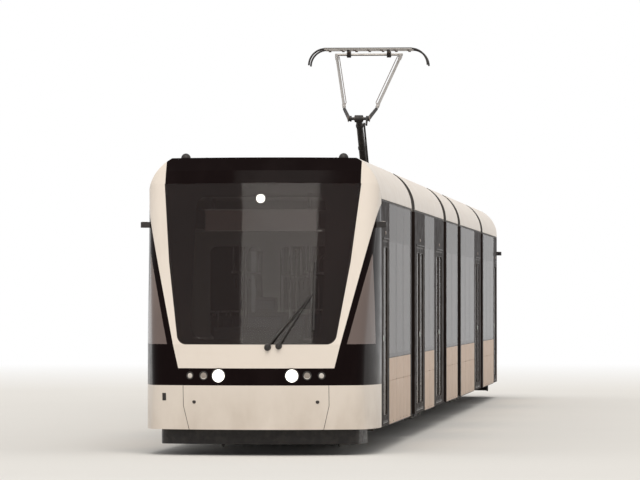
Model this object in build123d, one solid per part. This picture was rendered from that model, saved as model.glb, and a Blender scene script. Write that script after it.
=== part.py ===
from build123d import *
import math
import os

# Five-module low-floor articulated tram, millimetres.
# +X is the end that leads, +Y its left side, +Z up.
# The origin is midway along, on the centre line, level with the wheel flanges' lowest points.

# Overall body
LENGTH = 32600
HALF_WIDTH = 1325
WALL = 70
SKIRT_Z = 293
BELT_Z = 1061
GUTTER_Z = 2866
GUTTER_GAP = 24
COVE_TOP_Z = 3350
COVE_TOP_HALF = 1050
COVE_THICK = 35
FLOOR_TOP_Z = 430
FLOOR_THICK = 40
DECK_THICK = 40
CEILING_Z = 2520
CEILING_THICK = 30
CEILING_FLAT_HALF = 900
CEILING_EDGE_Z = 2435
LIGHT_CHANNEL_Y = 600
LIGHT_CHANNEL_WIDTH = 90
LIGHT_CHANNEL_DEPTH = 15
SEAT_GAP = 0.3

# Articulation
OUTER_PIVOT_X = 9230
INNER_PIVOT_X = 1950
END_GAP = 330
PORTAL_THICK = 60
GANGWAY_HALF = 780
GANGWAY_TOP_Z = 2450
TURNTABLE_R = 640
TURNTABLE_GAP = 8
PIVOT_PIN_R = 45
PIVOT_CLEARANCE = 0.1
LUG_R = 120
LUG_PLATE = 35
LUG_GAP = 5
LUG_HOLD = 120
LOWER_LUG_Z = 325
UPPER_LUG_Z = 3080
BELLOWS_THICK = 60
BELLOWS_INSET = 55
BELLOWS_TOP_Z = 3240
BELLOWS_BOTTOM_Z = 340
BELLOWS_PITCH = 110
BELLOWS_GROOVE = 25
BELLOWS_GROOVE_WIDTH = 30

# Windows and doors
GLASS = 8
WINDOW_SILL = 50
WINDOW_TOP_Z = 2425
PILLAR = 90
PANE_GAP = 8
END_PILLAR = 240
DOUBLE_DOOR = 1500
SINGLE_DOOR = 800
LEAF_THICK = 40
LEAF_INSET = 2
LEAF_GAP = 6
LEAF_FRAME = 75
LEAF_CORNER_R = 60
DOOR_SILL_Z = 326
PANEL_SEAM_Z = 795
PANEL_SEAM_DEPTH = 6
PANEL_SEAM_WIDTH = 8

# Nose, in plan: a long side arc, a tight corner arc and a wide front arc
NOSE_BACK_X = 15050
NOSE_SIDE_R = 2900
NOSE_CORNER_R = 250
NOSE_FRONT_R = 2600
NOSE_SHELL = 50
NOSE_GLASS = 12
NOSE_TAIL = 400
NOSE_MIN_DEPTH = 620
DEFLECTOR_Z = 120
DEFLECTOR_BACK = 260
DEFLECTOR_INSET = 160
DEFLECTOR_THICK = 25
CAMERA_X = 15250
CAMERA_Z = 2590
CAMERA_REACH = 75
CAMERA_ROOT_HALF = 80
CAMERA_TIP_HALF = 45
CAMERA_THICK = 64
ANTENNA_X = 15130
ANTENNA_Y = 900
ANTENNA_R = 55
BUMPER_TOP_Z = 786
BAR_BOTTOM_Z = 977
SCREEN_BOTTOM_Z = 1241
CREASE_Z = 3055
# Height and how far the middle of the nose stands behind its foremost point
NOSE_SECTIONS = (
    (SKIRT_Z, 80),
    (BUMPER_TOP_Z, 0),
    (SCREEN_BOTTOM_Z, 30),
    (CREASE_Z, 700),
    (3200, 780),
    (COVE_TOP_Z, 900),
)
# Front outlines, half width at a height
SCREEN_SIDES = ((SCREEN_BOTTOM_Z, 880), (2165, 1025), (CREASE_Z, 1118))
SCREEN_CORNER_R = 110
FRAME_FOOT_HALF = 873
FRAME_SLOPE = 0.243
CAP_HALF = 1112
CORNER_WINDOW_BOTTOM_Z = 1245
CORNER_WINDOW_TOP_Z = 2350
CORNER_WINDOW_MARGIN = 70
CORNER_WINDOW_BACK_X = 15500
BUMPER_SEAM_TOP_Y = 812
BUMPER_SEAM_FOOT_Y = 750
BUMPER_SEAM_JOG_Z = 560
JOINT_LINE = 5

# Running gear
WHEEL_R = 300
FLANGE_R = 325
WHEEL_BACK_Y = 680
FLANGE_WIDTH = 30
TREAD_WIDTH = 80
TREAD_FALL = 3
RIM_THICK = 45
WEB_NEAR = 45
WEB_THICK = 24
WEB_FILLET = 28
HUB_R = 95
HUB_LENGTH = 125
AXLE_R = 55
JOURNAL_R = 45
JOURNAL_FROM_Y = 850
JOURNAL_TO_Y = 965
JOURNAL_CLEARANCE = 0.08
WHEELBASE = 1800
SIDE_FRAME_NEAR_Y = 875
SIDE_FRAME_FAR_Y = 950
SIDE_FRAME_TOP_Z = 450
SIDE_FRAME_ARM_Z = 385
SIDE_FRAME_BELLY_Z = 300
SIDE_FRAME_REACH = 190
SIDE_FRAME_R = 30
SIDE_FRAME_SLOPE = 1.5
AXLE_BOX_R = 100
AXLE_BOX_NEAR_Y = 864
AXLE_BOX_FAR_Y = 960
PRIMARY_SPRING_X = 140
PRIMARY_SPRING_R = 42
PRIMARY_COIL_R = 49
WING_Z = 262
WING_THICK = 26
BODY_SPRING_RINGS = 3
BODY_SPRING_PLATE_R = 115
BODY_SPRING_PLATE_THICK = 16
BODY_SPRING_WAIST_R = 78
BODY_SPRING_RING_R = 98
TRANSOM_X = 250
TRANSOM_Z = 330
TRANSOM_R = 44
BOLSTER_R = 95
GEARBOX_R = 130
GEARBOX_LID_R = 95
GEARBOX_FAR_Y = 1120
GEARBOX_LID_Y = 1080
MOTOR_Y = 1080
MOTOR_Z = 300
MOTOR_R = 95
MOTOR_GROOVE = 8
MOTOR_HALF = 340
MOTOR_RIB = 60
MOTOR_RIB_PITCH = 110
MOTOR_HANGER_X = 230
MOTOR_HANGER_TOP_Z = 400
HANGER_THICK = 40
SHAFT_R = 30
COUPLING_X = 430
COUPLING_LENGTH = 50
TRACK_BRAKE_Y = 753
TRACK_BRAKE_WIDTH = 70
TRACK_BRAKE_HALF = 430
TRACK_BRAKE_LIFT = 48
TRACK_BRAKE_HEIGHT = 82
TRACK_BRAKE_RAMP = 50
TRACK_BRAKE_HANGER = 30
BOGIE_SHIFT = 12100
AXLE_Z = FLANGE_R
WHEEL_BOX_SKIN = 15
WHEEL_END_ROOM = 45
WHEEL_SIDE_ROOM = 30
WHEEL_TOP_ROOM = 20

# Pantograph
PANTO_BASE_X = -650
PANTO_BASE_Z = 3575
KNUCKLE_X = 630
KNUCKLE_Z = 4385
HEAD_X = -1430
HEAD_Z = 5430
HEAD_HALF = 890
HEAD_STRAIGHT_HALF = 660
HORN_DROP = 260
HORN_R = 14
HEAD_TOP = 95
HEAD_STRIP_X = 180
HEAD_STRIP_WIDTH = 60
HEAD_STRIP_THICK = 30
HEAD_HANGER_Y = 300
HEAD_HUB_R = 45
HEAD_HUB_LENGTH = 60
PANTO_PIN_R = 22
HEAD_SHAFT_R = 18
PANTO_RAIL_Z = 3440
PANTO_RAIL_HEIGHT = 50
PANTO_RAIL_Y = 430
PANTO_FEET_X = (-1000, 500)
INSULATOR_R = 38
SHED_R = 68
SHEDS = 4
YOKE_LENGTH = 336
YOKE_HALF = 233
YOKE_R = 24
UPPER_TUBE_R = 20
UPPER_TUBE_TOP_Y = 490
CHEEK_Y = 118
CHEEK_THICK = 24
CHEEK_R = 42
LOWER_ARM_EYE_HALF = 100
KNUCKLE_EYE_HALF = 60
EAR_THICK = 24
EAR_R = 45
PANTO_BAR_HALF = 30
LOWER_ARM_FOOT_R = 56
LOWER_ARM_TIP_R = 46
GUIDE_X = -400
GUIDE_Y = 85
GUIDE_Z = 3490
GUIDE_R = 14
GUIDE_EYE_R = 26
GUIDE_EYE_HALF = 12
GUIDE_PIN_R = 12
GUIDE_SIDE_GAP = 6
GUIDE_BRIDGE_DROP = 40
GUIDE_BRIDGE_THICK = 30
LEVER_REACH = 130
LEVER_ANGLE = -40
LEVER_END_R = 24


def box(x0, x1, y0, y1, z0, z1):
    """Block between two corners."""
    centre = ((x0 + x1) / 2, (y0 + y1) / 2, (z0 + z1) / 2)
    return Pos(*centre) * Box(abs(x1 - x0), abs(y1 - y0), abs(z1 - z0))


def prism(points, axis, start, stop):
    """Closed outline of points in the plane across an axis, extruded from start to stop."""
    place = {
        "X": lambda p: (start, p[0], p[1]),
        "Y": lambda p: (p[0], start, p[1]),
        "Z": lambda p: (p[0], p[1], start),
    }[axis]
    way = {"X": (1, 0, 0), "Y": (0, 1, 0), "Z": (0, 0, 1)}[axis]
    outline = Polyline([place(p) for p in points], close=True)
    return extrude(make_face(outline), amount=stop - start, dir=way)


def rod(x, y, z, radius, length, axis):
    """Round bar centred on a point, along an axis."""
    turn = {"X": Rot(0, 90, 0), "Y": Rot(90, 0, 0), "Z": Rot(0, 0, 0)}[axis]
    return Pos(x, y, z) * turn * Cylinder(radius, length)


def tube_between(start, end, radius):
    """Round bar from one point to another."""
    path = Vector(*end) - Vector(*start)
    middle = (Vector(*start) + Vector(*end)) * 0.5
    plane = Plane(origin=middle, z_dir=path)
    return plane * Cylinder(radius, path.length)


def tapered_between(start, end, start_r, end_r):
    """Tapering round bar from one point to another."""
    path = Vector(*end) - Vector(*start)
    middle = (Vector(*start) + Vector(*end)) * 0.5
    return Plane(origin=middle, z_dir=path) * Cone(start_r, end_r, path.length)


def turning(points, axis):
    """Solid of revolution about an axis from half-section points of distance along it and radius."""
    place = {"Y": lambda p: (0, p[0], p[1]), "Z": lambda p: (p[1], 0, p[0])}[axis]
    outline = Polyline([place(p) for p in points], close=True)
    return revolve(make_face(outline), {"Y": Axis.Y, "Z": Axis.Z}[axis], 360)


def fuse(pieces):
    """One solid from overlapping or touching pieces."""
    pieces = list(pieces)
    body = pieces[0]
    if len(pieces) > 1:
        body = body.fuse(*pieces[1:])
    return body


def turned(pieces):
    """The pieces turned half round about the vertical axis."""
    return [Rot(0, 0, 180) * piece for piece in pieces]


nodes = {}


def add(name, pieces):
    """Collect the solids of a named node."""
    nodes.setdefault(name, []).extend(pieces)


# Cross-section of body, coves and bellows
def cove_arc(half_width, foot_z, top_half, top_z, side):
    """Arc from a vertical wall's top inwards to the roof's edge."""
    rise = top_z - foot_z
    centre_y = (half_width**2 - top_half**2 - rise**2) / (2 * (half_width - top_half))
    radius = half_width - centre_y
    turn = math.atan2(rise, top_half - centre_y) / 2
    middle = (centre_y + radius * math.cos(turn), foot_z + radius * math.sin(turn))
    return ThreePointArc(
        (0, side * half_width, foot_z),
        (0, side * middle[0], middle[1]),
        (0, side * top_half, top_z),
    )


def section_face(half_width, bottom_z, foot_z, top_half, top_z):
    """Whole body outline across the tram: walls, coves and flat top."""
    left = cove_arc(half_width, foot_z, top_half, top_z, 1)
    right = cove_arc(half_width, foot_z, top_half, top_z, -1)
    lines = Polyline(
        (0, half_width, foot_z),
        (0, half_width, bottom_z),
        (0, -half_width, bottom_z),
        (0, -half_width, foot_z),
    )
    top = Line((0, -top_half, top_z), (0, top_half, top_z))
    return make_face([left, lines, right, top])


def section_bar(face, x0, x1):
    """Section face extruded between two places along the tram."""
    return extrude(Pos(x0, 0, 0) * face, amount=x1 - x0, dir=(1, 0, 0))


def cove(x0, x1, side):
    """Curved roof-edge fairing, carried by the deck's edge."""
    foot = GUTTER_Z + GUTTER_GAP
    inner_half = HALF_WIDTH - COVE_THICK
    outer = cove_arc(HALF_WIDTH, foot, COVE_TOP_HALF, COVE_TOP_Z, side)
    inner = cove_arc(inner_half, foot, COVE_TOP_HALF - COVE_THICK, COVE_TOP_Z - COVE_THICK / 2, side)
    foot_line = Line(outer @ 0, inner @ 0)
    top_line = Line(outer @ 1, inner @ 1)
    face = make_face([outer, foot_line, inner, top_line])
    return section_bar(face, x0, x1)


# Side layout: kind, start and end along +X, on the +Y side
SIDE_ZONES = {
    "a": (("window", 9560 + END_PILLAR, 13720), ("single", 13720, NOSE_BACK_X)),
    "b": (("double", 2280, 4600), ("window", 4600, 6760), ("double", 6760, 8900)),
    "c": (("window", -1500, 1500),),
    "d": (("double", -8900, -6700), ("window", -6700, -2280 - END_PILLAR)),
    "e": (("single", -NOSE_BACK_X, -13720), ("window", -13720, -9560 - END_PILLAR)),
}
MODULE_ENDS = {
    "a": (OUTER_PIVOT_X + END_GAP, NOSE_BACK_X),
    "b": (INNER_PIVOT_X + END_GAP, OUTER_PIVOT_X - END_GAP),
    "c": (-INNER_PIVOT_X + END_GAP, INNER_PIVOT_X - END_GAP),
    "d": (-OUTER_PIVOT_X + END_GAP, -INNER_PIVOT_X - END_GAP),
    "e": (-NOSE_BACK_X, -OUTER_PIVOT_X - END_GAP),
}
TWIN = {"a": "e", "b": "d", "c": "c", "d": "b", "e": "a"}
WINDOW_PITCH = 1400
BOGIE_MODULES = {"a": BOGIE_SHIFT, "c": 0, "e": -BOGIE_SHIFT}


def side_zones(module, side):
    """Zones of one module's side. The -Y side is the +Y side of its twin, turned half round."""
    if side > 0:
        return SIDE_ZONES[module]
    return [(kind, -x1, -x0) for kind, x0, x1 in SIDE_ZONES[TWIN[module]]]


def door_opening(kind, x0, x1):
    """Door opening's ends, centred in its zone."""
    width = DOUBLE_DOOR if kind == "double" else SINGLE_DOOR
    middle = (x0 + x1) / 2
    return middle - width / 2, middle + width / 2


def window_splits(x0, x1):
    """Places along a window zone where one pane ends and the next begins."""
    count = max(1, round((x1 - x0) / WINDOW_PITCH))
    return [x0 + (x1 - x0) * i / count for i in range(count + 1)]


def side_frame(module, side):
    """Black band: header, pillars, window sills and door posts of one side."""
    m0, m1 = MODULE_ENDS[module]
    inner = side * (HALF_WIDTH - WALL)
    band = side * (HALF_WIDTH - GLASS)
    skin = side * HALF_WIDTH
    pieces = [box(m0, m1, inner, band, WINDOW_TOP_Z, GUTTER_Z)]
    covered = []
    for kind, x0, x1 in side_zones(module, side):
        covered += [x0, x1]
        if kind == "window":
            pieces.append(box(x0, x1, inner, band, BELT_Z, BELT_Z + WINDOW_SILL))
            for split in window_splits(x0, x1):
                low = max(x0, split - PILLAR / 2)
                high = min(x1, split + PILLAR / 2)
                pieces.append(box(low, high, inner, band, BELT_Z, GUTTER_Z))
        else:
            open0, open1 = door_opening(kind, x0, x1)
            pieces.append(box(x0, open0, inner, skin, SKIRT_Z, GUTTER_Z))
            pieces.append(box(open1, x1, inner, skin, SKIRT_Z, GUTTER_Z))
            pieces.append(box(open0, open1, inner, skin, WINDOW_TOP_Z, GUTTER_Z))
            pieces.append(box(open0, open1, inner, skin, SKIRT_Z, DOOR_SILL_Z))
            leaf_back = side * (HALF_WIDTH - LEAF_INSET - LEAF_THICK - SEAT_GAP)
            pieces.append(
                box(open0, open1, inner, leaf_back, FLOOR_TOP_Z - FLOOR_THICK, FLOOR_TOP_Z)
            )
    if min(covered) > m0 + 1:
        pieces.append(box(m0, min(covered), inner, skin, SKIRT_Z, GUTTER_Z))
    if max(covered) < m1 - 1:
        pieces.append(box(max(covered), m1, inner, skin, SKIRT_Z, GUTTER_Z))
    return pieces


def lower_panels(module, side):
    """White lower side panels, one for each window zone, with a seam along their length."""
    panels = []
    for kind, x0, x1 in side_zones(module, side):
        if kind != "window":
            continue
        inner = side * (HALF_WIDTH - WALL)
        skin = side * HALF_WIDTH
        panel = box(x0, x1, inner, skin, SKIRT_Z, BELT_Z)
        root = skin - side * PANEL_SEAM_DEPTH
        seam = box(x0, x1, root, skin + side, PANEL_SEAM_Z, PANEL_SEAM_Z + PANEL_SEAM_WIDTH)
        panels.append(panel - seam)
    return panels


def window_panes(module, side):
    """Flush panes over the black band, from the belt to the gutter."""
    panes = []
    for kind, x0, x1 in side_zones(module, side):
        if kind != "window":
            continue
        splits = window_splits(x0, x1)
        for low, high in zip(splits, splits[1:]):
            panes.append(
                box(
                    low + PANE_GAP / 2,
                    high - PANE_GAP / 2,
                    side * (HALF_WIDTH - GLASS),
                    side * HALF_WIDTH,
                    BELT_Z + PANE_GAP,
                    GUTTER_Z - PANE_GAP,
                )
            )
    return panes


def door_leaves(module, side):
    """Door leaves' frames and their panes, closed."""
    frames = []
    panes = []
    outer = side * (HALF_WIDTH - LEAF_INSET)
    inner = side * (HALF_WIDTH - LEAF_INSET - LEAF_THICK)
    glass_outer = outer - side * GLASS
    for kind, x0, x1 in side_zones(module, side):
        if kind == "window":
            continue
        open0, open1 = door_opening(kind, x0, x1)
        if kind == "double":
            middle = (open0 + open1) / 2
            spans = ((open0, middle), (middle, open1))
        else:
            spans = ((open0, open1),)
        for low, high in spans:
            left = low + LEAF_GAP / 2
            right = high - LEAF_GAP / 2
            bottom = DOOR_SILL_Z + LEAF_GAP
            top = WINDOW_TOP_Z - SEAT_GAP
            leaf = box(left, right, inner, outer, bottom, top)
            hole = box(
                left + LEAF_FRAME, right - LEAF_FRAME, inner, outer, bottom + LEAF_FRAME, top - LEAF_FRAME
            )
            hole = fillet(hole.edges().filter_by(Axis.Y), LEAF_CORNER_R)
            frames.append(leaf - hole)
            pane = box(
                left + LEAF_FRAME + SEAT_GAP,
                right - LEAF_FRAME - SEAT_GAP,
                glass_outer,
                glass_outer - side * GLASS,
                bottom + LEAF_FRAME + SEAT_GAP,
                top - LEAF_FRAME - SEAT_GAP,
            )
            panes.append(fillet(pane.edges().filter_by(Axis.Y), LEAF_CORNER_R - SEAT_GAP))
    return frames, panes


def portal(x0, x1):
    """End wall of a module round the gangway."""
    inner_half = HALF_WIDTH - WALL
    wall = box(x0, x1, -inner_half, inner_half, FLOOR_TOP_Z - FLOOR_THICK, GUTTER_Z)
    passage = box(x0 - 1, x1 + 1, -GANGWAY_HALF, GANGWAY_HALF, FLOOR_TOP_Z, GANGWAY_TOP_Z)
    return wall - passage


def wheel_space(x_centre, side):
    """Room for one side's wheels, through the floor and up into the wheel box."""
    reach = WHEELBASE / 2 + WHEEL_R + WHEEL_END_ROOM
    near = side * (WHEEL_BACK_Y - WHEEL_SIDE_ROOM)
    far = side * (HALF_WIDTH - WALL - WHEEL_BOX_SKIN)
    top = AXLE_Z + FLANGE_R + WHEEL_TOP_ROOM
    return box(x_centre - reach, x_centre + reach, near, far, FLOOR_TOP_Z - FLOOR_THICK - 1, top)


def wheel_box(x_centre, side):
    """Box in the saloon over one side's wheels, open below, seated on the floor."""
    space = wheel_space(x_centre, side).bounding_box()
    outer = box(
        space.min.X - WHEEL_BOX_SKIN,
        space.max.X + WHEEL_BOX_SKIN,
        side * (WHEEL_BACK_Y - WHEEL_SIDE_ROOM - WHEEL_BOX_SKIN),
        side * (HALF_WIDTH - WALL - SEAT_GAP),
        FLOOR_TOP_Z + SEAT_GAP,
        space.max.Z + WHEEL_BOX_SKIN,
    )
    return outer - wheel_space(x_centre, side)


def lug(pivot_x, root_x, z0, z1):
    """Flat lug from a module's end to the pivot, with a round end."""
    plate = box(pivot_x, root_x, -LUG_R, LUG_R, z0, z1)
    eye = Pos(pivot_x, 0, (z0 + z1) / 2) * Cylinder(LUG_R, z1 - z0)
    return fuse([plate, eye])


def lug_root(pivot_x, root_x, bottom, top):
    """Block that ties a lug to the module's end wall."""
    back = root_x + math.copysign(PORTAL_THICK, root_x - pivot_x)
    return box(root_x, back, -LUG_R, LUG_R, bottom, top)


def pin_lugs(pivot_x, root_x, z_mid, root_top):
    """Fork with its pin, on a module that stands on a bogie."""
    half = LUG_PLATE / 2
    step = LUG_PLATE + LUG_GAP
    upper = lug(pivot_x, root_x, z_mid + step - half, z_mid + step + half)
    lower = lug(pivot_x, root_x, z_mid - step - half, z_mid - step + half)
    pin = Pos(pivot_x, 0, z_mid) * Cylinder(PIVOT_PIN_R, 2 * step + LUG_PLATE)
    root = lug_root(pivot_x, root_x, z_mid - step - half, root_top)
    return fuse([upper, lower, pin, root])


def fork_beam(pivot_x, root_x):
    """Beam that carries the lower fork, past the turntable's edge to the floor behind it."""
    way = math.copysign(1, root_x - pivot_x)
    edge = pivot_x + way * (TURNTABLE_R + TURNTABLE_GAP)
    back = edge + way * LUG_HOLD
    bottom = LOWER_LUG_Z - LUG_GAP - 1.5 * LUG_PLATE
    top = FLOOR_TOP_Z - FLOOR_THICK
    beam = box(root_x, back, -LUG_R, LUG_R, bottom, top - TURNTABLE_GAP)
    return fuse([beam, box(edge + way * TURNTABLE_GAP, back, -LUG_R, LUG_R, bottom, top)])


def eye_lug(pivot_x, root_x, z_mid, root_top):
    """Single lug with the bore for the pin, on a hung module."""
    half = LUG_PLATE / 2
    plate = lug(pivot_x, root_x, z_mid - half, z_mid + half)
    step = LUG_PLATE + LUG_GAP
    root = lug_root(pivot_x, root_x, z_mid - step - half, root_top)
    bore = Pos(pivot_x, 0, z_mid) * Cylinder(PIVOT_PIN_R + PIVOT_CLEARANCE, 4 * LUG_PLATE)
    return fuse([plate, root]) - bore


def module_pivots(module):
    """Pivots of a module: place, and the end of the module that faces it."""
    m0, m1 = MODULE_ENDS[module]
    pivots = []
    if module != "a":
        pivots.append((m1 + END_GAP, m1))
    if module != "e":
        pivots.append((m0 - END_GAP, m0))
    return pivots


def carbody_frame(module):
    """Floor, portals, pillars, headers and pivot lugs of a module, as one solid."""
    m0, m1 = MODULE_ENDS[module]
    inner_half = HALF_WIDTH - WALL
    floor_z = FLOOR_TOP_Z - FLOOR_THICK
    floor = box(m0, m1, -inner_half, inner_half, floor_z, FLOOR_TOP_Z)
    pieces = [floor]
    for pivot_x, end_x in module_pivots(module):
        inward = math.copysign(PORTAL_THICK, end_x - pivot_x)
        pieces.append(portal(min(end_x, end_x + inward), max(end_x, end_x + inward)))
    body = fuse(pieces + side_frame(module, 1) + side_frame(module, -1))
    if module in BOGIE_MODULES:
        for side in (1, -1):
            body = body - wheel_space(BOGIE_MODULES[module], side)
    lower = []
    for pivot_x, end_x in module_pivots(module):
        if module in BOGIE_MODULES:
            disc = Pos(pivot_x, 0, FLOOR_TOP_Z) * Cylinder(TURNTABLE_R + TURNTABLE_GAP, 3 * FLOOR_THICK)
            lugs = pin_lugs(pivot_x, end_x, LOWER_LUG_Z, floor_z - TURNTABLE_GAP)
            body = body - disc
            lower.append(fork_beam(pivot_x, end_x))
        else:
            disc = Pos(pivot_x, 0, floor_z + FLOOR_THICK / 2) * Cylinder(TURNTABLE_R, FLOOR_THICK)
            lugs = eye_lug(pivot_x, end_x, LOWER_LUG_Z, floor_z)
            lower.append(disc)
        lower.append(lugs)
    return fuse([body] + lower)


PANTO_PLINTH = 380
# Roof gear: module, start and end along X, half width, height above the deck, kind of lid
ROOF_GEAR = (
    ("a", 9750, 11250, 820, 430, "lid"),
    ("a", 11400, 12600, 760, 360, "slots"),
    ("a", 12800, 14400, 880, 430, "fans"),
    ("b", 2500, 4300, 860, 430, "fans"),
    ("b", 4450, 6600, 820, 400, "lid"),
    ("b", 6750, 8700, 860, 430, "slots"),
    ("c", -1500, 1500, 560, PANTO_PLINTH, "lid"),
)
HOUSING_SHOULDER_R = 80
HOUSING_CORNER_R = 30
LID_PITCH = 500
LID_GROOVE = 10
FAN_R = 270
FAN_DEPTH = 45
FAN_HUB_R = 70
FAN_ARM = 24
SLOT_PITCH = 90
SLOT_WIDTH = 36
SLOT_DEPTH = 22
SLOT_MARGIN = 170
TRUNK_NEAR = 925
TRUNK_FAR = 1005
TRUNK_HEIGHT = 70


def lid_grooves(x0, x1, half, top):
    """Joints between the lids of a housing."""
    count = round((x1 - x0) / LID_PITCH)
    cuts = []
    for i in range(1, count):
        x = x0 + (x1 - x0) * i / count
        cuts.append(box(x - LID_GROOVE / 2, x + LID_GROOVE / 2, -half, half, top - LID_GROOVE, top + 1))
    return cuts


def fan_wells(x0, x1, half, top):
    """Round wells of two roof fans, each with its hub and four arms left standing."""
    cuts = []
    for share in (0.27, 0.73):
        x = x0 + (x1 - x0) * share
        well = Pos(x, 0, top) * Cylinder(FAN_R, 2 * FAN_DEPTH)
        well = well - Pos(x, 0, top) * Cylinder(FAN_HUB_R, 2 * FAN_DEPTH)
        for angle in (0, 90):
            arm = Box(2 * FAN_R, FAN_ARM, 2 * FAN_DEPTH)
            well = well - Pos(x, 0, top) * Rot(0, 0, angle + 45) * arm
        cuts += well.solids()
    return cuts


def top_slots(x0, x1, half, top):
    """Row of cooling slots across a housing."""
    count = int((x1 - x0 - 2 * SLOT_MARGIN) // SLOT_PITCH)
    first = (x0 + x1) / 2 - (count - 1) * SLOT_PITCH / 2
    reach = half - SLOT_MARGIN
    cuts = []
    for i in range(count):
        x = first + i * SLOT_PITCH
        cuts.append(box(x - SLOT_WIDTH / 2, x + SLOT_WIDTH / 2, -reach, reach, top - SLOT_DEPTH, top + 1))
    return cuts


def housing(x0, x1, half, bottom, height, kind):
    """Equipment housing with round shoulders, and the joints, fan wells or slots of its lid."""
    top = bottom + height
    body = box(x0, x1, -half, half, bottom, top)
    shoulders = body.edges().filter_by(Axis.X).group_by(Axis.Z)[-1]
    body = fillet(shoulders, HOUSING_SHOULDER_R)
    body = fillet(body.edges().filter_by(Axis.Z), HOUSING_CORNER_R)
    cutters = {"lid": lid_grooves, "fans": fan_wells, "slots": top_slots}[kind]
    return body.cut(*cutters(x0, x1, half, top))


def roof(module):
    """Deck, upper pivot lugs and the equipment housings and cable trunks that stand on the deck."""
    m0, m1 = MODULE_ENDS[module]
    deck_half = HALF_WIDTH - COVE_THICK - SEAT_GAP
    deck_top = GUTTER_Z + DECK_THICK
    pieces = [box(m0, m1, -deck_half, deck_half, GUTTER_Z, deck_top)]
    twin = TWIN[module]
    rows = [row[1:] for row in ROOF_GEAR if row[0] == module]
    if twin != module:
        rows += [(-x1, -x0, *rest) for name, x0, x1, *rest in ROOF_GEAR if name == twin]
    for x0, x1, half, height, kind in rows:
        pieces.append(housing(x0, x1, half, deck_top, height, kind))
    for side in (1, -1):
        trunk = box(
            m0 + PORTAL_THICK,
            m1 - PORTAL_THICK,
            side * TRUNK_NEAR,
            side * TRUNK_FAR,
            deck_top,
            deck_top + TRUNK_HEIGHT,
        )
        pieces.append(trunk)
    for pivot_x, end_x in module_pivots(module):
        inward = math.copysign(PORTAL_THICK, end_x - pivot_x)
        post_top = UPPER_LUG_Z + LUG_GAP + 1.5 * LUG_PLATE
        pieces.append(box(end_x, end_x + inward, -2 * LUG_R, 2 * LUG_R, deck_top, post_top))
        if module in BOGIE_MODULES:
            pieces.append(pin_lugs(pivot_x, end_x, UPPER_LUG_Z, post_top))
        else:
            pieces.append(eye_lug(pivot_x, end_x, UPPER_LUG_Z, post_top))
    return fuse(pieces)


def bellows(pivot_x):
    """Folded outer bellows and the inner gangway lining at one pivot."""
    x0 = pivot_x - END_GAP + SEAT_GAP
    x1 = pivot_x + END_GAP - SEAT_GAP
    half = HALF_WIDTH - BELLOWS_INSET
    top_half = COVE_TOP_HALF - BELLOWS_INSET
    outer = section_face(half, BELLOWS_BOTTOM_Z, GUTTER_Z, top_half, BELLOWS_TOP_Z)
    inner = section_face(
        half - BELLOWS_THICK,
        BELLOWS_BOTTOM_Z - 10,
        GUTTER_Z,
        top_half - BELLOWS_THICK,
        BELLOWS_TOP_Z - BELLOWS_THICK,
    )
    crest = section_face(
        half + 10, BELLOWS_BOTTOM_Z - 10, GUTTER_Z, top_half + 10, BELLOWS_TOP_Z + 10
    )
    root = section_face(
        half - BELLOWS_GROOVE,
        BELLOWS_BOTTOM_Z - 10,
        GUTTER_Z,
        top_half - BELLOWS_GROOVE,
        BELLOWS_TOP_Z - BELLOWS_GROOVE,
    )
    arch = section_bar(outer, x0, x1) - section_bar(inner, x0 - 1, x1 + 1)
    folds = int((x1 - x0) // BELLOWS_PITCH)
    start = pivot_x - (folds - 1) * BELLOWS_PITCH / 2
    for fold in range(folds):
        middle = start + fold * BELLOWS_PITCH
        near = middle - BELLOWS_GROOVE_WIDTH / 2
        far = middle + BELLOWS_GROOVE_WIDTH / 2
        ring = section_bar(crest, near, far) - section_bar(root, near - 1, far + 1)
        arch = arch - ring
    return arch


# Nose
def nose_outline(z, front_x, inset, tail):
    """Plan outline at one height: tail lines, side arcs, corner arcs and one front arc."""
    front_c = Vector(front_x - NOSE_FRONT_R, 0)
    side_x = min(NOSE_BACK_X, front_x - NOSE_MIN_DEPTH)
    side_c = Vector(side_x, HALF_WIDTH - NOSE_SIDE_R)
    reach_front = NOSE_FRONT_R - NOSE_CORNER_R
    reach_side = NOSE_SIDE_R - NOSE_CORNER_R
    between = side_c - front_c
    along = (reach_front**2 - reach_side**2 + between.length**2) / (2 * between.length)
    off = math.sqrt(reach_front**2 - along**2)
    unit = between.normalized()
    normal = Vector(-unit.Y, unit.X)
    spots = [front_c + unit * along + normal * s * off for s in (1, -1)]
    corner_c = max(spots, key=lambda p: p.X + p.Y)

    def on_arc(centre, radius, angle):
        return Vector(centre.X + radius * math.cos(angle), centre.Y + radius * math.sin(angle), z)

    front_angle = math.atan2(corner_c.Y - front_c.Y, corner_c.X - front_c.X)
    side_angle = math.atan2(corner_c.Y - side_c.Y, corner_c.X - side_c.X)
    back_angle = math.pi / 2
    front_r = NOSE_FRONT_R - inset
    corner_r = NOSE_CORNER_R - inset
    side_r = NOSE_SIDE_R - inset
    side = [on_arc(side_c, side_r, a) for a in (back_angle, (back_angle + side_angle) / 2, side_angle)]
    corner = [
        on_arc(corner_c, corner_r, a)
        for a in (side_angle, (side_angle + front_angle) / 2, front_angle)
    ]
    tip = on_arc(front_c, front_r, 0)
    corner[0] = side[2]
    back = Vector(NOSE_BACK_X - tail, side[0].Y, z)

    def flip(p):
        return Vector(p.X, -p.Y, p.Z)

    edges = [
        Line(back, side[0]),
        ThreePointArc(*side),
        ThreePointArc(*corner),
        ThreePointArc(corner[2], tip, flip(corner[2])),
        ThreePointArc(*[flip(p) for p in reversed(corner)]),
        ThreePointArc(*[flip(p) for p in reversed(side)]),
        Line(flip(side[0]), flip(back)),
        Line(flip(back), back),
    ]
    return make_face(edges)


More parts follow.
